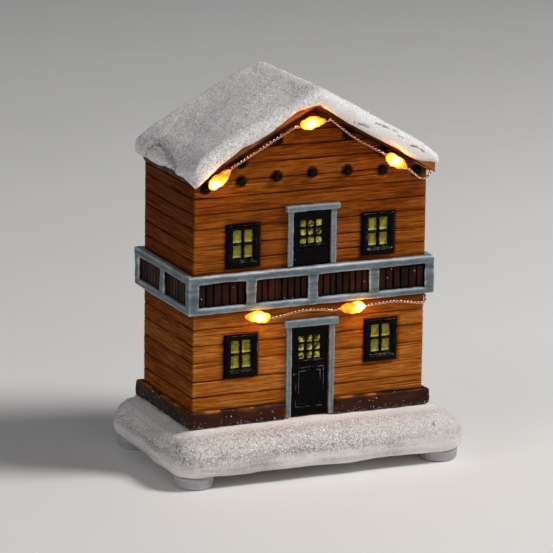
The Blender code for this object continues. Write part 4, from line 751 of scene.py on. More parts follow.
def pane(
    place, middle_u, middle_v, half_u, half_v, level, back, seed, bulge=0.12 * MM, radius=0.45 * MM,
    step=0.16 * MM, mottle=0.14, rim=0.25
):
    """A small pillow of yellow paint in its opening, paler along its lower edge."""
    u, v = grid(half_u, half_v, step)
    from_edge = np.minimum(half_u - np.abs(u), half_v - np.abs(v))
    u2, v2 = round_corners(u, v, half_u, half_v, radius)
    out = level + bulge * np.clip(from_edge / (0.8 * MM), 0, 1) - edge_drop(from_edge, 0.15 * MM)
    out = out + 0.05 * MM * bumps(u + middle_u, v + middle_v, 0.7 * MM, seed)
    height = (v + half_v) / (2 * half_v)
    pool = (
        bell(height - 0.12, 0.09)
        + rim * bell(from_edge - 0.22 * MM, 0.13 * MM) * np.clip((u - v) / half_u, 0, 1)
    )
    tone = (
        0.43 + 0.46 * pool - 0.26 * np.exp(-from_edge / (0.14 * MM))
        + mottle * bumps(u + middle_u, v + middle_v, 0.9 * MM, seed + 1)
    )
    return slab(place, u2 + middle_u, v2 + middle_v, out, tone, back)


def add_window(name, x, z, seed):
    half_u, half_v = WINDOW_HALF
    place = facing((x, FRONT_Y, z), (1, 0, 0))
    u, v = grid(half_u, half_v, 0.15 * MM)
    from_edge = np.minimum(half_u - np.abs(u), half_v - np.abs(v))
    # A sill of thick smooth paint that catches the light, with a painted highlight in a thin line along it
    sill_v = v + 4.75 * MM - 0.12 * MM * line_noise(u, 4 * MM, seed)
    sill = bell(sill_v, 0.42 * MM) * (np.abs(u) < 4.0 * MM)
    calm = 1 - bell(sill_v, 0.8 * MM)
    out = (
        0.95 * MM - edge_drop(from_edge, 0.75 * MM) + 0.07 * MM * bumps(u, v, 2.0 * MM, seed)
        + 0.03 * MM * calm * bumps(u, v, 0.5 * MM, seed + 1)
    )
    tone = 0.42 + 0.12 * bumps(u, v, 1.0 * MM, seed + 2)
    # The sash lies a step back inside the outer frame
    middle_v = 0.5 * MM
    sash = np.maximum(np.abs(u) - 3.7 * MM, np.abs(v - middle_v) - 4.6 * MM)
    out = out - 0.28 * MM * np.clip(-sash / (0.25 * MM), 0, 1)
    # Painted highlights along the sash and along the frame's outer edge, stronger on its upper half
    tone = tone + 0.28 * bell(sash, 0.16 * MM) * (0.5 + bumps(u, v, 1.6 * MM, seed + 3))
    painted_edge_highlight = 0.50 * bell(from_edge - 0.30 * MM, 0.18 * MM) * np.where(v > 0, 1.0, 0.6)
    tone = tone + painted_edge_highlight * np.clip(0.4 + bumps(u, v, 1.8 * MM, seed + 8), 0, 1)
    wobble = 0.10 * MM * bumps(u, v, 1.1 * MM, seed + 4)
    panes = []
    for i, k in itertools.product((-1, 1), (-1, 1)):
        pane_u, pane_v = i * 1.7 * MM, middle_v + k * 2.15 * MM
        apart = np.maximum(np.abs(u - pane_u) - 1.42 * MM, np.abs(v - pane_v) - 1.92 * MM) + wobble
        out = out - 1.15 * MM * np.clip(-apart / (0.22 * MM), 0, 1)
        panes.append(
            pane(place, pane_u, pane_v, 1.50 * MM, 2.02 * MM, -0.12 * MM, PANE_BACK, seed + 7 + i + 2 * k)
        )
    out = out + 0.42 * MM * sill * (1 + 0.2 * line_noise(u, 3 * MM, seed + 5))
    # Painted highlight line along the top of the sill
    glint = bell(sill_v - 0.20 * MM, 0.16 * MM) * (np.abs(u) < 4.0 * MM)
    tone = tone + 0.40 * glint * np.clip(0.75 + 0.6 * line_noise(u, 3.2 * MM, seed + 6), 0, 1)
    u2, v2 = round_corners(u, v, half_u, half_v, 1.1 * MM)
    mesh = slab(place, u2, v2, out, tone, JOINERY_BACK)
    finished(f"painted_window_{name}", mesh, NEAR_BLACK, [f"window_frame_{name}"])
    finished(
        f"painted_panes_{name}", joined(panes), WINDOW_YELLOW,
        [f"window_glazing_{name}"]
    )


def add_door(name, bottom, height, seed):
    place = facing((0, FRONT_Y, bottom + height / 2), (1, 0, 0))
    half_v = height / 2
    u, v = grid(DOOR_HALF, half_v, 0.15 * MM)
    from_edge = np.minimum(DOOR_HALF - np.abs(u), half_v - np.abs(v))
    out = (
        0.25 * MM - edge_drop(from_edge, 0.2 * MM) + 0.06 * MM * bumps(u, v, 2.2 * MM, seed)
        + 0.03 * MM * bumps(u, v, 0.5 * MM, seed + 1)
    )
    tone = 0.40 + 0.14 * bumps(u, v, 1.2 * MM, seed + 2)
    top = half_v - 3.75 * MM
    lights = []
    wobble = 0.24 * MM * bumps(u, v, 0.8 * MM, seed + 3)
    for i, k in itertools.product((-1, 0, 1), (0, 1, 2)):
        light_u, light_v = i * 2.4 * MM, top - k * 2.4 * MM
        apart = (
            (np.abs((u - light_u) / MM) ** 3 + np.abs((v - light_v) / MM) ** 3) ** (1 / 3) * MM - 1.05 * MM
            + wobble
        )
        out = out - 0.7 * MM * np.clip(-apart / (0.2 * MM), 0, 1)
        lights.append(
            pane(
                place, light_u, light_v, 1.08 * MM, 1.10 * MM, -0.22 * MM, PANE_BACK, seed + 11 + 3 * i + k,
                0.25 * MM, 0.75 * MM, 0.12 * MM, 0.50, 1.0
            )
        )
    ledge = top - 2 * 2.4 * MM - 1.55 * MM
    # Two ledges below the lights, with painted highlights along them
    for level, half, deep in ((ledge, 4.3 * MM, 0.40), (ledge - 0.95 * MM, 4.6 * MM, 0.22)):
        ridge = bell(v - level - 0.06 * MM * line_noise(u, 2 * MM, seed), 0.22 * MM) * (np.abs(u) < half)
        out = out + deep * MM * ridge
        tone = tone + 0.46 * ridge**3 * np.clip(0.75 + 0.6 * line_noise(u, 3.2 * MM, seed + 4), 0, 1)
    panel_top, panel_bottom = ledge - 1.9 * MM, -half_v + 2.6 * MM
    panel_middle, panel_half = (panel_top + panel_bottom) / 2, (panel_top - panel_bottom) / 2
    # A moulded panel, where the door is high enough for one, with painted highlights along its mouldings
    mouldings = ((0.0, 0.32), (0.95, 0.26)) if panel_half > 1.5 * MM else ()
    for inset, deep in mouldings:
        ring = np.maximum(np.abs(u) - (4.25 - inset) * MM, np.abs(v - panel_middle) - panel_half + inset * MM)
        line = bell(ring + 0.05 * MM * bumps(u, v, 1.0 * MM, seed + 5), 0.17 * MM)
        out = out + deep * MM * line
        tone = tone + 0.62 * line**2 * np.clip(0.6 + bumps(u, v, 2.6 * MM, seed + 6), 0, 1)
    mesh = slab(place, u, v, out, tone, JOINERY_BACK)
    finished(f"painted_door_{name}", mesh, NEAR_BLACK, [f"door_{name}"])
    finished(
        f"painted_lights_{name}", joined(lights), WINDOW_YELLOW,
        [f"door_glazing_{name}"]
    )
    lumps = [(2.5 * MM, 0.08 * MM), (0.8 * MM, 0.02 * MM)]
    mesh = worked_copy(f"door_frame_{name}", 0.16 * MM, 4, lumps, seed + 9, 0.26 * MM)[0]
    finished(f"painted_frame_{name}", mesh, BALCONY_GREY, [f"door_frame_{name}"])


# Snow


def set_grit(mesh, tone, grit):
    set_tone(mesh, tone)
    set_values(mesh, "grit", grit)


def fade(values, start, end):
    """Smoothly from 0 at start to 1 at end."""
    share = np.clip((values - start) / (end - start), 0, 1)
    return share * share * (3 - 2 * share)


def near_path(points, path, width):
    """One on a path of straight lines, fading to nothing about a width away from it."""
    nearest = np.full(len(points), np.inf)
    for start, end in zip(path, path[1:]):
        start, end = np.array(start) * MM, np.array(end) * MM
        along = end - start
        share = np.clip((points - start) @ along / (along @ along), 0, 1)
        nearest = np.minimum(nearest, np.linalg.norm(points - start - share[:, None] * along, axis=1))
    return bell(nearest, width)


# Paths of pits in the snow of the base, in mm
RIGHT_PITS = [(34.7, -21.1, 12.6), (34.2, -24.6, 12.2), (33.2, -28.0, 11.0)]
LEFT_PITS = [(-43.0, -20.0, 11.5), (-42.0, -24.5, 10.0), (-40.0, -26.8, 8.0)]


def add_base():
    """Snow laid on in layers: smooth and pinkish by the walls, a band of grit on the roll, brushed below."""
    lumps = [(14 * MM, 0.28 * MM), (3.0 * MM, 0.09 * MM), (0.9 * MM, 0.02 * MM)]
    mesh, points, normals = worked_copy("snow_base", 0.42 * MM, 3, lumps, 5, 0.25 * MM)
    x, y, z = points.T
    outside = np.hypot(np.maximum(np.abs(x) - HALF_X, 0), np.maximum(np.abs(y - HOUSE_Y) - HALF_Y, 0))
    roll = np.maximum(fade(outside, 1.6 * MM, 8.5 * MM), 0.5 * fade(-x, HALF_X - MM, HALF_X + 2 * MM))
    roll = roll * fade(z, 6.5 * MM, 9.5 * MM)
    worn = fade(x, 8 * MM, 32 * MM)
    low = 1 - fade(z, 7.0 * MM, 10.5 * MM)
    streak = rough_noise(points, np.array((14.0, 14.0, 1.1)) * MM, 31, 3)
    layers = low * streak
    points = points + normals * (0.16 * MM * layers * (normals[:, 2] < 0.6))[:, None]
    pits = near_path(points, RIGHT_PITS, 0.42 * MM) * fade(rough_noise(points, 0.8 * MM, 3), 0.2, 0.5)
    left = near_path(points, LEFT_PITS, 1.3 * MM) * 0.6 * fade(rough_noise(points, 0.8 * MM, 4), 0.35, 0.7)
    pits = np.maximum(pits, left)
    points = points - normals * (0.3 * MM * pits)[:, None]
    move_points(mesh, points)
    # Painted shade on the roll, on the low face and in the pits
    tone = (
        0.78 - 0.33 * roll - 0.25 * low + 0.18 * layers - 0.5 * pits
        + 0.04 * rough_noise(points, 5 * MM, 41, 2)
    )
    set_grit(mesh, tone, 0.08 + (0.38 * roll + 0.10 * low) * (1 - 0.6 * worn))
    flakes = glitter(mesh, 2.2 * roll * (1 - 0.7 * worn) + 0.15 * (1 - low) + 0.25 * low * (z > 4.2 * MM), 11)
    finished("snow_base_cast", mesh, SNOW, ["snow_base"])
    finished("glitter_on_base", flakes, GLITTER, ["snow_base"])


BOARDS_RISE = 3.8 * MM  # from the top of the walls to the top of the roof boards
SNOW_FACE_Y = FRONT_Y - 4.0 * MM  # on the roof, only the front face of the snow lies in front of this
# Lower edge of the snow, in mm above the slanting plane of the wall tops: along the front by x, and along the
# left eave by y. Then the thickness of the snow by x, and the lower front edge of the boards by x.
FRONT_EDGE = [
    (-38.0, 0.6), (-36.2, 1.5), (-32.0, 2.5), (-28.5, 3.4), (-25.9, 3.7), (-23.0, 4.4), (-20.0, 3.9),
    (-15.0, 3.8), (-10.8, 4.7), (-6.0, 4.7), (-2.0, 3.4), (0.0, 2.4), (7.0, 1.4), (15.0, 1.1), (24.0, 1.3),
    (27.5, 0.6), (31.0, 0.9), (34.5, 2.1), (38.0, 2.6),
]
LEFT_EDGE = [
    (-20.0, 1.5), (-16.0, 2.0), (-10.5, 3.0), (-5.0, 2.8), (1.7, 3.5), (7.5, 2.5), (12.7, 2.7), (24.7, 3.0)
]
SNOW_ACROSS = [
    (-38.0, 3.6), (-33.0, 4.8), (-24.0, 5.3), (-12.5, 4.8), (-4.0, 4.3), (0.0, 4.6), (4.0, 4.0), (12.0, 3.4),
    (30.0, 3.1), (38.0, 2.0)
]
BOARD_FOOT = [(-38.0, 2.2), (-5.0, 3.0), (5.0, 2.6), (15.0, 1.6), (28.0, 0.7), (38.0, -0.6)]
CREASE = [
    (-38.2, 16.3, 89.5), (-37.1, 14.0, 90.6), (-36.0, 10.8, 91.4), (-36.0, 5.7, 91.4), (-36.8, -0.6, 90.8),
    (-37.5, -5.1, 90.2)
]
CRACKS = [
    [(10.2, -20.0, 99.4), (13.6, -20.2, 98.0), (16.1, -20.2, 96.6)],
    [(16.7, -20.2, 98.4), (20.4, -20.2, 97.0), (23.5, -20.2, 95.6)],
    [(23.6, -20.0, 94.5), (25.4, -20.0, 93.8)],
    [(27.7, -20.0, 91.6), (29.9, -20.0, 90.6), (31.8, -20.0, 89.4)],
]


def roof_underside(x):
    return APEX_Z + SEAT - ROOF_SLOPE * np.abs(x)


def stations(values, table):
    """Reads a list of (place, height) in mm at an array of places."""
    places, heights = zip(*table)
    return np.interp(values / MM, places, heights)


def rolled(share, power):
    """The rise of a rounded edge from 0 to 1 as share goes from 0 to 1."""
    return (1 - (1 - np.clip(share, 0, 1)) ** power) ** (1 / power)


def snow_blanket():
    """Snow on the boards that rolls over their edges: a grid for its top and one for its underside."""
    edge, front, rear = HALF_X + 2.4 * MM, FRONT_Y - 5.6 * MM, REAR_Y + 3.2 * MM
    half_y = (rear - front) / 2
    # Spaced more closely towards the edges
    even = [np.linspace(-1, 1, count) for count in (161, 99)]
    across, along = (np.sign(t) * (1 - (1 - np.abs(t)) ** 1.5) for t in even)
    u, v = np.meshgrid(edge * across, half_y * along)
    inward = (edge + u, edge - u, v + half_y, half_y - v)
    depth = np.minimum.reduce(inward)
    x, y = round_corners(u, v, edge, half_y, 2.2 * MM)
    x, y = x - 0.6 * MM * fade(x, 20 * MM, edge), y + (front + rear) / 2
    share_x, share_y = x / edge, (y - front) / (rear - front)
    lips = (stations(y, LEFT_EDGE), 2.6, stations(x, FRONT_EDGE), 3.0)
    weights = [np.exp(-gap / (0.9 * MM)) for gap in inward]
    plane = roof_underside(x)
    low = plane + MM * sum(w * lip for w, lip in zip(weights, lips)) / sum(weights)
    rounded = roof_underside(np.hypot(x, 2.0 * MM))
    thick = stations(x, SNOW_ACROSS) * (1.0 + 0.03 * np.sin(7 * share_y))
    wave = np.sin(9 * share_y + 4 * share_x) + np.sin(6 * share_x - 5 * share_y)
    wave = np.where(x < 0, 0.4, 0.15) * wave * fade(np.abs(x), 2 * MM, 12 * MM)
    top = rounded + BOARDS_RISE + MM * (thick + wave)
    nose = low + 0.36 * (top - low)
    upper = nose + (top - nose) * rolled(depth / (3.0 * MM), 2.2)
    under = nose - (nose - low) * rolled(depth / (0.8 * MM), 2.0)
    inside = fade(depth, 1.5 * MM, 1.9 * MM)
    under = under * (1 - inside) + (plane + BOARDS_RISE - 0.3 * MM) * inside
    quads = grid_faces(*x.shape)
    points = np.concatenate([np.stack((x.ravel(), y.ravel(), z.ravel()), axis=1) for z in (upper, under)])
    mesh = bpy.data.meshes.new("blanket")
    mesh.from_pydata(points.tolist(), [], [*quads.tolist(), *(quads[:, ::-1] + x.size).tolist()])
    return merged(mesh, 2e-6)


def roof_boards():
    """Boards lofted from the left eave to the right: the soffit slants up from the walls, and along the left
    rake their front stands up behind the edge of the snow."""
    bm = bmesh.new()
    rings = []
    reach = HALF_X + 0.8 * MM
    for x in (-reach, -HALF_X - 0.2 * MM, *np.linspace(-34, 34, 35) * MM, HALF_X + 0.2 * MM, reach):
        front, rear = FRONT_Y - 4.2 * MM, REAR_Y + 1.8 * MM
        foot = float(stations(x, BOARD_FOOT))
        upstand = max(3.8, float(stations(x, FRONT_EDGE)) + 0.7)
        at_wall = 0.0 if abs(x) < reach else (2.4 if x < 0 else 0.3)
        section = [
            (REAR_Y + 0.2 * MM, at_wall), (FRONT_Y - 0.2 * MM, at_wall), (front, foot), (front, upstand),
            (front + 0.9 * MM, upstand), (front + 0.9 * MM, 3.8), (rear, 3.8), (rear, 2.6),
        ]
        rings.append([bm.verts.new((x, y, roof_underside(x) + rise * MM)) for y, rise in section])
    for left, right in zip(rings, rings[1:]):
        for i in range(8):
            bm.faces.new((left[i], left[(i + 1) % 8], right[(i + 1) % 8], right[i]))
    for ring in (rings[0][::-1], rings[-1]):
        bm.faces.new(ring)
    bmesh.ops.recalc_face_normals(bm, faces=bm.faces)
    return mesh_from(bm, "boards")


def add_roof():
    lumps = [(12 * MM, 0.25 * MM), (3.5 * MM, 0.10 * MM), (1.0 * MM, 0.03 * MM)]
    mesh, points, normals = worked_mesh(snow_blanket(), 0.36 * MM, 3, lumps, 8, 0.25 * MM)
    x, y, z = points.T
    wobble = 0.6 * MM * rough_noise(points, 4 * MM, 21)[:, None]
    plan = np.array((1, 1, 0))
    crease = near_path((points + wobble) * plan, [np.array(p) * plan for p in CREASE], 1.0 * MM)
    crease = crease * (z > 85 * MM)
    upright = np.array((1, 0, 1))
    seen = (points + 0.3 * wobble) * upright
    cracks = [near_path(seen, [np.array(p) * upright for p in path], 0.26 * MM) for path in CRACKS]
    cracks = np.max(cracks, axis=0)
    cracks = cracks * fade(rough_noise(points, 1.1 * MM, 33), -0.35, -0.1) * (y < SNOW_FACE_Y)
    points = points - normals * (0.95 * MM * crease + 0.30 * MM * cracks)[:, None]
    move_points(mesh, points)
    face = fade(-normals[:, 1], 0.35, 0.75) * (y < SNOW_FACE_Y)
    right_face = face * fade(x, -2 * MM, 4 * MM)
    # Painted light on the front face of the snow, more on the right, and painted shade in the crease and the
    # cracks
    tone = (
        0.62 + 0.02 * face + 0.04 * right_face - 0.22 * crease - 0.60 * cracks
        + 0.04 * rough_noise(points, 6 * MM, 42, 2)
    )
    # Painted shade on faces that look down
    tone = tone - 0.16 * fade(-normals[:, 2], 0.1, 0.8)
    set_grit(mesh, tone, 0.66 - 0.42 * right_face)
    upward = fade(normals[:, 2], 0.0, 0.5) + 0.6 * face * (1 - right_face)
    flakes = glitter(mesh, 1.5 * upward, 12)
    finished("snow_roof_cast", mesh, SNOW, ["roof_snow"])
    finished("glitter_on_roof", flakes, GLITTER, ["roof_snow"])
    lumps = [(np.array((1.2, 6.0, 1.2)) * MM, 0.05 * MM), (3.0 * MM, 0.10 * MM)]
    mesh, points, normals = worked_mesh(roof_boards(), 0.34 * MM, 2, lumps, 12, 0.3 * MM)
    tone = 0.34 + 0.22 * rough_noise(points, np.array((5.0, 2.0, 5.0)) * MM, 13)
    # Painted light on the boards' front faces, brightest towards the right end
    tone = tone + fade(-normals[:, 1], 0.6, 0.9) * (0.26 + 0.46 * fade(points[:, 0], 24 * MM, 34 * MM))
    set_tone(mesh, tone)
    finished("painted_roof_boards", mesh, EAVE_TIMBER, ["roof_boards"])


def add_plinth_and_feet():
    lumps = [(np.array((7.0, 7.0, 2.2)) * MM, 0.26 * MM), (1.2 * MM, 0.06 * MM)]
    mesh, points, normals = worked_copy("plinth", 0.26 * MM, 3, lumps, 15, 0.5 * MM)
    x, y, z = points.T
    # Painted light on the top and along the edges, painted shade at the foot where the snow meets it
    top = fade(z, WALL_BOTTOM + 4.2 * MM, WALL_BOTTOM + 4.8 * MM) * fade(normals[:, 2], 0.1, 0.8)
    foot = 1 - fade(z, WALL_BOTTOM + 0.3 * MM, WALL_BOTTOM + 0.9 * MM)
    smear = rough_noise(points, np.array((5.0, 5.0, 1.6)) * MM, 16)
    edge = np.clip(ridges(mesh, points, normals, 4) / (0.10 * MM), 0, 1) * np.clip(0.8 + smear, 0, 1.2)
    tone = 0.48 + 0.14 * smear + 0.42 * top * np.clip(0.7 + smear, 0, 1.2) + 0.26 * edge - 0.30 * foot
    # Darker on the left side
    set_tone(mesh, tone - 0.14 * (x < -HALF_X - 0.5 * MM))
    outer = np.maximum(np.abs(x) - HALF_X, np.abs(y - HOUSE_Y) - HALF_Y) > MM
    thrown = (3.6 * np.exp(-(z - WALL_BOTTOM) / (0.5 * MM)) + 0.07) * outer
    specks = glitter(mesh, thrown, 19, 0.12 * MM)
    finished("painted_plinth", mesh, UMBER, ["plinth"])
    finished("snow_specks_on_plinth", specks, SPECK, ["plinth"])
    for k, foot in enumerate(("foot_front_left", "foot_front_right", "foot_rear_left", "foot_rear_right")):
        lumps = [(4 * MM, 0.08 * MM), (0.8 * MM, 0.02 * MM)]
        mesh, points, _ = worked_copy(foot, 0.28 * MM, 3, lumps, 18 + k, 0.4 * MM)
        points[:, 2] = np.maximum(points[:, 2], 0)
        move_points(mesh, points)
        finished(f"vinyl_{foot}", mesh, FOOT_VINYL, [foot])


# What repeats or follows a path, by geometry nodes


def node_group(name, **inputs):
    """A geometry node tree with named inputs, each of a kind such as Float."""
    tree = bpy.data.node_groups.new(name, "GeometryNodeTree")
    tree.interface.new_socket("Geometry", in_out="INPUT", socket_type="NodeSocketGeometry")
    tree.interface.new_socket("Geometry", in_out="OUTPUT", socket_type="NodeSocketGeometry")
    for socket, kind in inputs.items():
        tree.interface.new_socket(socket, in_out="INPUT", socket_type=f"NodeSocket{kind}")
    return tree, tree.nodes.new("NodeGroupInput").outputs, tree.nodes.new("NodeGroupOutput")


def grow(data, tree, values):
    """Runs a tree on a mesh or curve with its inputs set, and gives the plain mesh."""
    obj = linked("helper", data)
    modifier = obj.modifiers.new("grow", "NODES")
    modifier.node_group = tree
    for item in tree.interface.items_tree:
        if item.item_type == "SOCKET" and item.in_out == "INPUT" and item.name in values:
            modifier[item.identifier] = values[item.name]
    return plain_mesh(obj)


def end_of_tree(tree, out, geometry, finish):
    real = add(tree, "GeometryNodeRealizeInstances", {"Geometry": geometry})
    last = add(tree, "GeometryNodeSetMaterial", {"Geometry": real, "Material": finish})
    tree.links.new(last.outputs[0], out.inputs[0])


def copies(tree, points, piece, turn, smallest, largest, seed):
    """Copies of a piece on points, each scaled at random between two limits."""
    scale = add(
        tree, "FunctionNodeRandomValue", {"Min": smallest, "Max": largest, "Seed": seed},
        data_type="FLOAT_VECTOR"
    )
    placed = add(
        tree, "GeometryNodeInstanceOnPoints",
        {"Points": points, "Instance": piece, "Rotation": turn, "Scale": scale},
    )
    return placed.outputs[0]


def made_uneven(tree, geometry, size, detail, amount):
    """Makes copies real and moves their points about by noise of the given size in mm."""
    real = add(tree, "GeometryNodeRealizeInstances", {"Geometry": geometry})
    where = add(tree, "GeometryNodeInputPosition")
    noise = add(tree, "ShaderNodeTexNoise", {"Vector": where, "Scale": 1000 / size, "Detail": detail})
    middle = (0.5, 0.5, 0.5)
    centred = add(tree, "ShaderNodeVectorMath", {0: noise.outputs["Color"], 1: middle}, operation="SUBTRACT")
    scaled = add(tree, "ShaderNodeVectorMath", {0: centred, "Scale": amount}, operation="SCALE")
    moved = add(tree, "GeometryNodeSetPosition", {"Geometry": real, "Offset": scaled})
    return moved.outputs[0]


def glitter(mesh, density, seed, size=0.11 * MM):
    """Small plates strewn over a mesh: density is the number of them per square millimetre at each vertex."""
    tree, given, out = node_group("strewn_flakes", Size="Float", Seed="Int")
    ground = mesh.copy()
    set_values(ground, "density", density / MM**2)
    share = add(tree, "GeometryNodeInputNamedAttribute", {"Name": "density"}, data_type="FLOAT")
    spread = add(
        tree, "GeometryNodeDistributePointsOnFaces",
        {"Mesh": given["Geometry"], "Density": share, "Seed": given["Seed"]}
    )
    plate = add(
        tree, "GeometryNodeMeshCylinder", {"Vertices": 5, "Radius": given["Size"], "Depth": 0.03 * MM}
    )
    tilt = add(
        tree, "FunctionNodeRandomValue",
        {"Min": (-0.7, -0.7, -3.1), "Max": (0.7, 0.7, 3.1), "Seed": given["Seed"]}, data_type="FLOAT_VECTOR"
    )
    turn = add(tree, "FunctionNodeEulerToRotation", {0: tilt})
    turned = add(
        tree, "FunctionNodeRotateRotation", {0: spread.outputs["Rotation"], 1: turn}, rotation_space="LOCAL"
    )
    placed = copies(
        tree, spread.outputs["Points"], plate.outputs[0], turned.outputs[0],
        (0.6, 0.6, 1.0), (1.5, 1.3, 1.0), given["Seed"],
    )
    end_of_tree(tree, out, placed, GLITTER)
    return grow(ground, tree, {"Size": size, "Seed": seed})


def slat_tree():
    """A row of boards between two points, each a little wider, narrower or turned than the next."""
    tree, given, out = node_group(
        "row_of_slats", Start="Vector", Step="Vector", Count="Int", Board="Vector", Turn="Float", Seed="Int"
    )
    line = add(
        tree, "GeometryNodeMeshLine",
        {"Count": given["Count"], "Start Location": given["Start"], "Offset": given["Step"]}
    )
    board = add(
        tree, "GeometryNodeMeshCube",
        {"Size": given["Board"], "Vertices X": 6, "Vertices Y": 4, "Vertices Z": 12}
    )
    lean = add(
        tree, "FunctionNodeRandomValue",
        {"Min": (0, -0.03, -0.02), "Max": (0, 0.03, 0.02), "Seed": given["Seed"]}, data_type="FLOAT_VECTOR"
    )
    facing_turn = add(tree, "ShaderNodeCombineXYZ", {"Z": given["Turn"]})
    turned = add(tree, "ShaderNodeVectorMath", {0: lean, 1: facing_turn}, operation="ADD")
    placed = copies(
        tree, line.outputs[0], board.outputs[0], turned.outputs[0], (0.84, 0.9, 0.98), (1.1, 1.1, 1.0),
        given["Seed"]
    )
    end_of_tree(tree, out, made_uneven(tree, placed, 1.3, 1.0, 0.35 * MM), SLAT_BROWN)
    return tree


HALF_POST = 1.45 * MM
LOWER_RAIL, UPPER_RAIL = 1.9 * MM, 2.3 * MM  # heights of the balcony's rails
SLAT_OUT = 0.65 * MM  # from the wall to the middle of the slats
SLAT_GAP = 0.42 * MM
SLAT_THICKNESS = 0.85 * MM


def bays(marks, counts):
    """For each bay between posts at marks: its number, the middle of its first slat, their step and count."""
    for k, count in enumerate(counts):
        start = marks[k] + (HALF_POST if k else 0)
        end = marks[k + 1] - (HALF_POST if k < len(counts) - 1 else 0)
        step = (end - start) / count
        yield k, start + step / 2, step, count


def add_balcony():
    """Rails and posts round the house, slats behind them, and a near-black band behind those."""
    lumps = [(np.array((7.0, 7.0, 2.5)) * MM, 0.14 * MM), (1.4 * MM, 0.035 * MM)]
    mesh, points, normals = worked_copy("balcony_frame", 0.27 * MM, 3, lumps, 25, 0.45 * MM)
    # Upward faces lighter, as painted light from above
    tone = 0.42 + ridges(mesh, points, normals, 4) / (0.32 * MM) + 0.18 * np.maximum(normals[:, 2], 0)
    tone = tone + 0.10 * rough_noise(points, np.array((5.0, 5.0, 0.7)) * MM, 27)
    set_tone(mesh, tone)
    finished("painted_balcony_frame", mesh, BALCONY_GREY, ["balcony_frame"])
    low, high = BALCONY_Z + LOWER_RAIL + SEAT, BALCONY_TOP - UPPER_RAIL - SEAT
    middle_z = (low + high) / 2
    front_marks = [-34.8 * MM, -18.85 * MM, 0.0, 18.85 * MM, 34.8 * MM]
    side_marks = [HOUSE_Y - 17.2 * MM, HOUSE_Y, HOUSE_Y + 17.2 * MM]
    rows = []
    for row_y, turn, flip, seed in (
        (FRONT_Y - SEAT - SLAT_OUT, 0.0, 1, 3), (REAR_Y + SEAT + SLAT_OUT, math.pi, -1, 10)
    ):
        for k, first, step, count in bays(front_marks, (6, 8, 8, 6)):
            rows.append(((flip * first, row_y, middle_z), (flip * step, 0, 0), step, count, turn, seed + k))
    for sign in (-1, 1):
        row_x = sign * (HALF_X + SEAT + SLAT_OUT)
        for k, first, step, count in bays(side_marks, (7, 7)):
            rows.append(
                ((row_x, first, middle_z), (0, step, 0), step, count, sign * math.pi / 2, 20 + k + sign)
            )
    tree = slat_tree()
    meshes = []
    for start, offset, step, count, turn, seed in rows:
        board = (step - SLAT_GAP, SLAT_THICKNESS, high - low)
        values = {"Start": start, "Step": offset, "Count": count, "Board": board, "Turn": turn, "Seed": seed}
        meshes.append(grow(bpy.data.meshes.new("row"), tree, values))
    mesh = joined(meshes)
    points = corner_points(mesh)
    board = line_noise(points[:, 0] + 2 * points[:, 1], 2.0 * MM, 4)
    # Painted shade at the slats' lower ends, by the lower rail
    lower_end = bell(points[:, 2] - low, 0.8 * MM)
    set_tone(mesh, 0.5 + 0.25 * board - 0.1 * lower_end)
    finished("painted_slats", mesh, SLAT_BROWN, ["balcony_slats"])
    # A near-black band behind the slats, which shows in the gaps
    outer, inner = 0.42 * MM, SEAT
    bm = bmesh.new()
    rings = []
    for z, reach_out in ((low, inner), (low, outer), (high, outer), (high, inner)):
        ring = []
        for cx, cy in ((-1, -1), (1, -1), (1, 1), (-1, 1)):
            ring.append(bm.verts.new((cx * (HALF_X + reach_out), HOUSE_Y + cy * (HALF_Y + reach_out), z)))
        rings.append(ring)
    for k in range(4):
        lower, upper = rings[k], rings[(k + 1) % 4]
        for i in range(4):
            bm.faces.new((lower[i], lower[(i + 1) % 4], upper[(i + 1) % 4], upper[i]))
    bmesh.ops.subdivide_edges(bm, edges=bm.edges, cuts=7, use_grid_fill=True)
    mesh = mesh_from(bm, "backing")
    set_tone(mesh, np.full(len(mesh.vertices), 0.1))
    finished("slat_backing", mesh, LOG_BLACK, ["balcony_slats"])


def log_places():
    row_z, end_z = 84.9 * MM, 82.797 * MM
    pitch = (HALF_X - LOG_INSET) / 3
    places = [(k * pitch, row_z + (end_z - row_z) * (k / 3) ** 2) for k in range(-3, 4)]
    below = 1.5 * MM / math.cos(ROOF_ANGLE)
    return places + [(k * pitch, roof_underside(k * pitch) - below) for k in (-2, -1, 1, 2)]


def add_logs():
    """Short round log ends on a list of points, each a little out of round."""
    tree, given, out = node_group("log_ends", Radius="Float", Length="Float", Unevenness="Float", Seed="Int")
    log = add(
        tree, "GeometryNodeMeshCylinder",
        {
            "Vertices": 14, "Side Segments": 2, "Fill Segments": 2, "Radius": given["Radius"],
            "Depth": given["Length"]
        },
    )
    rounded = add(tree, "GeometryNodeSubdivisionSurface", {"Mesh": log, "Level": 2})
    lying = (math.pi / 2, 0, 0)
    placed = copies(
        tree, given["Geometry"], rounded.outputs[0], lying, (0.88, 0.88, 0.9), (1.06, 1.06, 1.1),
        given["Seed"]
    )
    end_of_tree(tree, out, made_uneven(tree, placed, 1.4, 2.0, given["Unevenness"]), LOG_BLACK)
    points = bpy.data.meshes.new("log_points")
    length = 1.5 * MM
    points.from_pydata([(x, FRONT_Y - length / 2, z) for x, z in log_places()], [], [])
    mesh = grow(points, tree, {"Radius": LOG_RADIUS, "Length": length, "Unevenness": 0.4 * MM, "Seed": 4})
    merged(mesh, 1e-6)
    set_tone(mesh, 0.35 + 0.3 * smooth_noise(corner_points(mesh), 0.7 * MM, 6))
    nodes = [f"log_end_row_{k}" for k in range(1, 8)]
    nodes += [f"log_end_rake_{k}" for k in ("left_low", "left_high", "right_high", "right_low")]
    finished("painted_log_ends", mesh, LOG_BLACK, nodes)


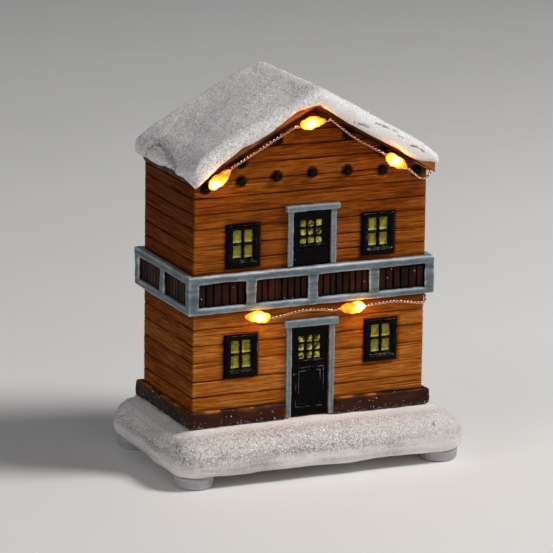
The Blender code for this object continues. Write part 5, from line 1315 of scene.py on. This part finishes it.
def smooth_route(points, step):
    """Points about a step apart on a smooth curve through a list of points."""
    points = [Vector(p) * MM for p in points]
    whole = [2 * points[0] - points[1], *points, 2 * points[-1] - points[-2]]
    route = [points[0]]
    for before, start, end, after in zip(whole, whole[1:], whole[2:], whole[3:]):
        count = max(1, round((end - start).length / step))
        for k in range(1, count + 1):
            t = k / count
            bend = (2 * before - 5 * start + 4 * end - after) * t * t
            route.append(
                0.5 * (2 * start + (end - before) * t + bend + (3 * start - before - 3 * end + after) * t**3)
            )
    return route


UPPER_WIRE = [
    (25.65, 0.40, 9.10), (25.65, 0.40, 20.50), (26.05, -2.70, 44.10), (29.10, -5.40, 75.10),
    (30.70, -5.80, 78.70), (33.90, -5.80, 79.10), (36.60, -6.40, 79.40), (36.90, -9.20, 80.90),
    (36.80, -13.10, 82.70), (36.30, -14.90, 82.00), (34.90, -15.70, 81.10), (32.60, -16.40, 81.20),
    (28.96, -18.20, 83.69), (27.90, -18.20, 84.38), (20.50, -18.20, 89.18), (19.44, -18.20, 89.87),
    (12.04, -16.50, 94.20), (4.23, -17.60, 100.05), (2.98, -17.60, 99.89), (-5.78, -17.60, 98.82),
    (-7.03, -17.60, 98.66), (-13.63, -16.30, 94.66), (-25.20, -18.30, 89.40), (-26.20, -18.30, 88.60),
    (-30.10, -18.30, 85.60), (-31.70, -18.30, 84.35),
]
LOWER_WIRE = [
    (25.65, -3.60, 9.10), (25.65, -3.60, 20.50), (26.05, -5.95, 27.10), (29.10, -7.90, 41.10),
    (30.70, -8.30, 44.70), (33.90, -8.30, 45.10), (36.40, -8.90, 45.30), (36.50, -11.30, 45.90),
    (36.30, -13.50, 45.70), (35.10, -15.30, 44.70), (32.50, -15.60, 44.80), (25.50, -16.00, 45.90),
    (17.97, -16.10, 45.50), (16.71, -16.10, 45.45), (7.89, -16.10, 45.15), (6.63, -16.10, 45.10),
    (-2.57, -16.30, 45.96), (-11.17, -16.10, 44.61), (-12.42, -16.10, 44.76), (-17.60, -16.10, 45.40),
    (-19.20, -16.10, 45.60),
]


def twist_tree():
    """Two fine strands wound round each other along a curve."""
    tree, given, out = node_group("twisted_pair", Lay="Float", Apart="Float", Strand="Float", Step="Float")
    even = add(
        tree, "GeometryNodeResampleCurve", {"Curve": given["Geometry"], "Length": given["Step"]},
        mode="LENGTH"
    )
    far = add(tree, "GeometryNodeSplineParameter").outputs["Length"]
    turns = add(tree, "ShaderNodeMath", {0: far, 1: given["Lay"]}, operation="DIVIDE")
    angle = add(tree, "ShaderNodeMath", {0: turns, 1: 2 * math.pi}, operation="MULTIPLY")
    normal = add(tree, "GeometryNodeInputNormal").outputs[0]
    tangent = add(tree, "GeometryNodeInputTangent").outputs[0]
    side = add(tree, "ShaderNodeVectorMath", {0: normal, 1: tangent}, operation="CROSS_PRODUCT")
    profile = add(tree, "GeometryNodeCurvePrimitiveCircle", {"Resolution": 7, "Radius": given["Strand"]})
    both = add(tree, "GeometryNodeJoinGeometry")
    for sign in (-1, 1):
        reach = add(tree, "ShaderNodeMath", {0: given["Apart"], 1: sign / 2}, operation="MULTIPLY")
        parts = []
        for direction, wave in ((normal, "COSINE"), (side.outputs[0], "SINE")):
            share = add(tree, "ShaderNodeMath", {0: angle}, operation=wave)
            length = add(tree, "ShaderNodeMath", {0: share, 1: reach}, operation="MULTIPLY")
            parts.append(
                add(tree, "ShaderNodeVectorMath", {0: direction, "Scale": length}, operation="SCALE")
            )
        offset = add(tree, "ShaderNodeVectorMath", {0: parts[0], 1: parts[1]}, operation="ADD")
        strand = add(tree, "GeometryNodeSetPosition", {"Geometry": even, "Offset": offset})
        skin = add(
            tree, "GeometryNodeCurveToMesh", {"Curve": strand, "Profile Curve": profile, "Fill Caps": True}
        )
        tree.links.new(skin.outputs[0], both.inputs[0])
    end_of_tree(tree, out, both.outputs[0], COPPER)
    return tree


def add_wires():
    tree = twist_tree()
    for name, points in (("wire_upper", UPPER_WIRE), ("wire_lower", LOWER_WIRE)):
        curve = bpy.data.curves.new(name, "CURVE")
        curve.dimensions = "3D"
        route = smooth_route(points, 0.5 * MM)
        spline = curve.splines.new("POLY")
        spline.points.add(len(route) - 1)
        for point, co in zip(spline.points, route):
            point.co = (*co, 1)
        mesh = grow(
            curve, tree, {"Lay": 2.3 * MM, "Apart": 0.46 * MM, "Strand": 0.19 * MM, "Step": 0.16 * MM}
        )
        finished(f"twisted_{name}", mesh, COPPER, [name])


def add_drops():
    """Each lamp: a bead of clear resin dripped over its chip, drawn out along the wire, softly folded."""
    length, radius = 7.8 * MM, 1.5 * MM
    for seed, (name, (middle, tilt, core)) in enumerate(DROPS.items()):
        middle = np.array(middle) * MM
        along = np.array((math.cos(math.radians(tilt)), 0, math.sin(math.radians(tilt))))
        upward = np.array((-along[2], 0, along[0]))
        rings, sides = 40, 36
        points = []
        for i in range(1, rings):
            share = -math.cos(math.pi * i / rings)
            fat = radius * (1 - share**2) ** 0.55 * (1 - 0.22 * share * np.sign(-core))
            for k in range(sides):
                angle = 2 * math.pi * k / sides
                crimp = abs(math.sin(1.5 * angle + 2.2 * share + 1.7 * seed))
                crimp += 0.5 * abs(math.sin(3.5 * angle - 3 * share + seed))
                reach = fat * (0.62 + 0.42 * crimp)
                point = middle + along * share * length / 2 + upward * reach * math.cos(angle)
                points.append(point + np.array((0, -1, 0)) * reach * math.sin(angle))
        points = np.array(points)
        faces = []
        for i, k in itertools.product(range(rings - 2), range(sides)):
            a, b = i * sides + k, i * sides + (k + 1) % sides
            faces.append((a, b, b + sides, a + sides))
        faces += [tuple(range(sides))[::-1], tuple(range((rings - 2) * sides, (rings - 1) * sides))]
        mesh = bpy.data.meshes.new(name)
        mesh.from_pydata(points.tolist(), [], faces)
        bm = bmesh.new()
        bm.from_mesh(mesh)
        bmesh.ops.recalc_face_normals(bm, faces=bm.faces)
        bm.to_mesh(mesh)
        bm.free()
        glow_at = middle + along * core * length / 2 + np.array((0, -0.9 * MM, 0))
        away = np.linalg.norm((points - glow_at) / np.array((1.5, 1.0, 1.0)), axis=1)
        tone = bell(away, 1.25 * MM) * 0.62 + 0.38 * np.exp(-away / (3.0 * MM))
        folds = np.abs(rough_noise(points, 1.2 * MM, 90 + seed, 2))
        set_tone(mesh, tone - 0.16 * np.exp(-folds / 0.12) + 0.10 * folds)
        finished(f"lit_drop_{name}", mesh, LAMP, [f"led_{name}"])
        # The warm light that the lamp's chip throws on the wall beside it
        glow = add_lamp(f"glow_{name}", "POINT", glow_at + np.array((0, -1.2 * MM, 0)), 0.0024, "#FFAA40")
        glow.data.shadow_soft_size = 1.0 * MM


def dress_solids():
    """The battery box and what it holds keep their solids, each with the finish of its material."""
    finishes = {
        "box_plastic": BOX_PLASTIC, "cell_wrap": CELL_WRAP, "nickel_plate": NICKEL,
        "switch_black": SWITCH_BLACK
    }
    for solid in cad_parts.values():
        slot = solid.data.materials[0].name
        if slot in finishes:
            solid.data.materials[0] = finishes[slot]


def add_stage():
    bm = bmesh.new()
    bmesh.ops.create_grid(bm, x_segments=2, y_segments=2, size=4.0)
    mesh = mesh_from(bm, "floor")
    mesh.materials.append(FLOOR)
    floor = linked("floor", mesh)
    world = bpy.data.worlds.new("studio")
    world.use_nodes = True
    background = world.node_tree.nodes["Background"].inputs
    background["Color"].default_value = srgb("#E6E8EC")
    background["Strength"].default_value = 0.12
    bpy.context.scene.world = world
    middle = (0, 0, 0.05)
    add_light("key", (0.60, -0.36, 0.80), middle, 0.34, 8.3, "#FEFDFC")
    add_light("front_fill", (-0.05, -0.80, 0.16), middle, 0.4, 0.7, "#FFFAF4")
    add_light("left_fill", (-0.90, -0.20, 0.40), middle, 0.5, 1.7, "#FCFCFF")
    bpy.context.scene.view_settings.view_transform = "Standard"


add_camera()
add_stage()
add_walls()
for seed, (name, (x, z)) in enumerate(WINDOWS.items()):
    add_window(name, x, z, 60 + 31 * seed)
for seed, (name, (bottom, height)) in enumerate(DOORS.items()):
    add_door(name, bottom, height, 200 + 31 * seed)
add_base()
add_roof()
add_plinth_and_feet()
add_balcony()
add_logs()
add_wires()
add_drops()
dress_solids()
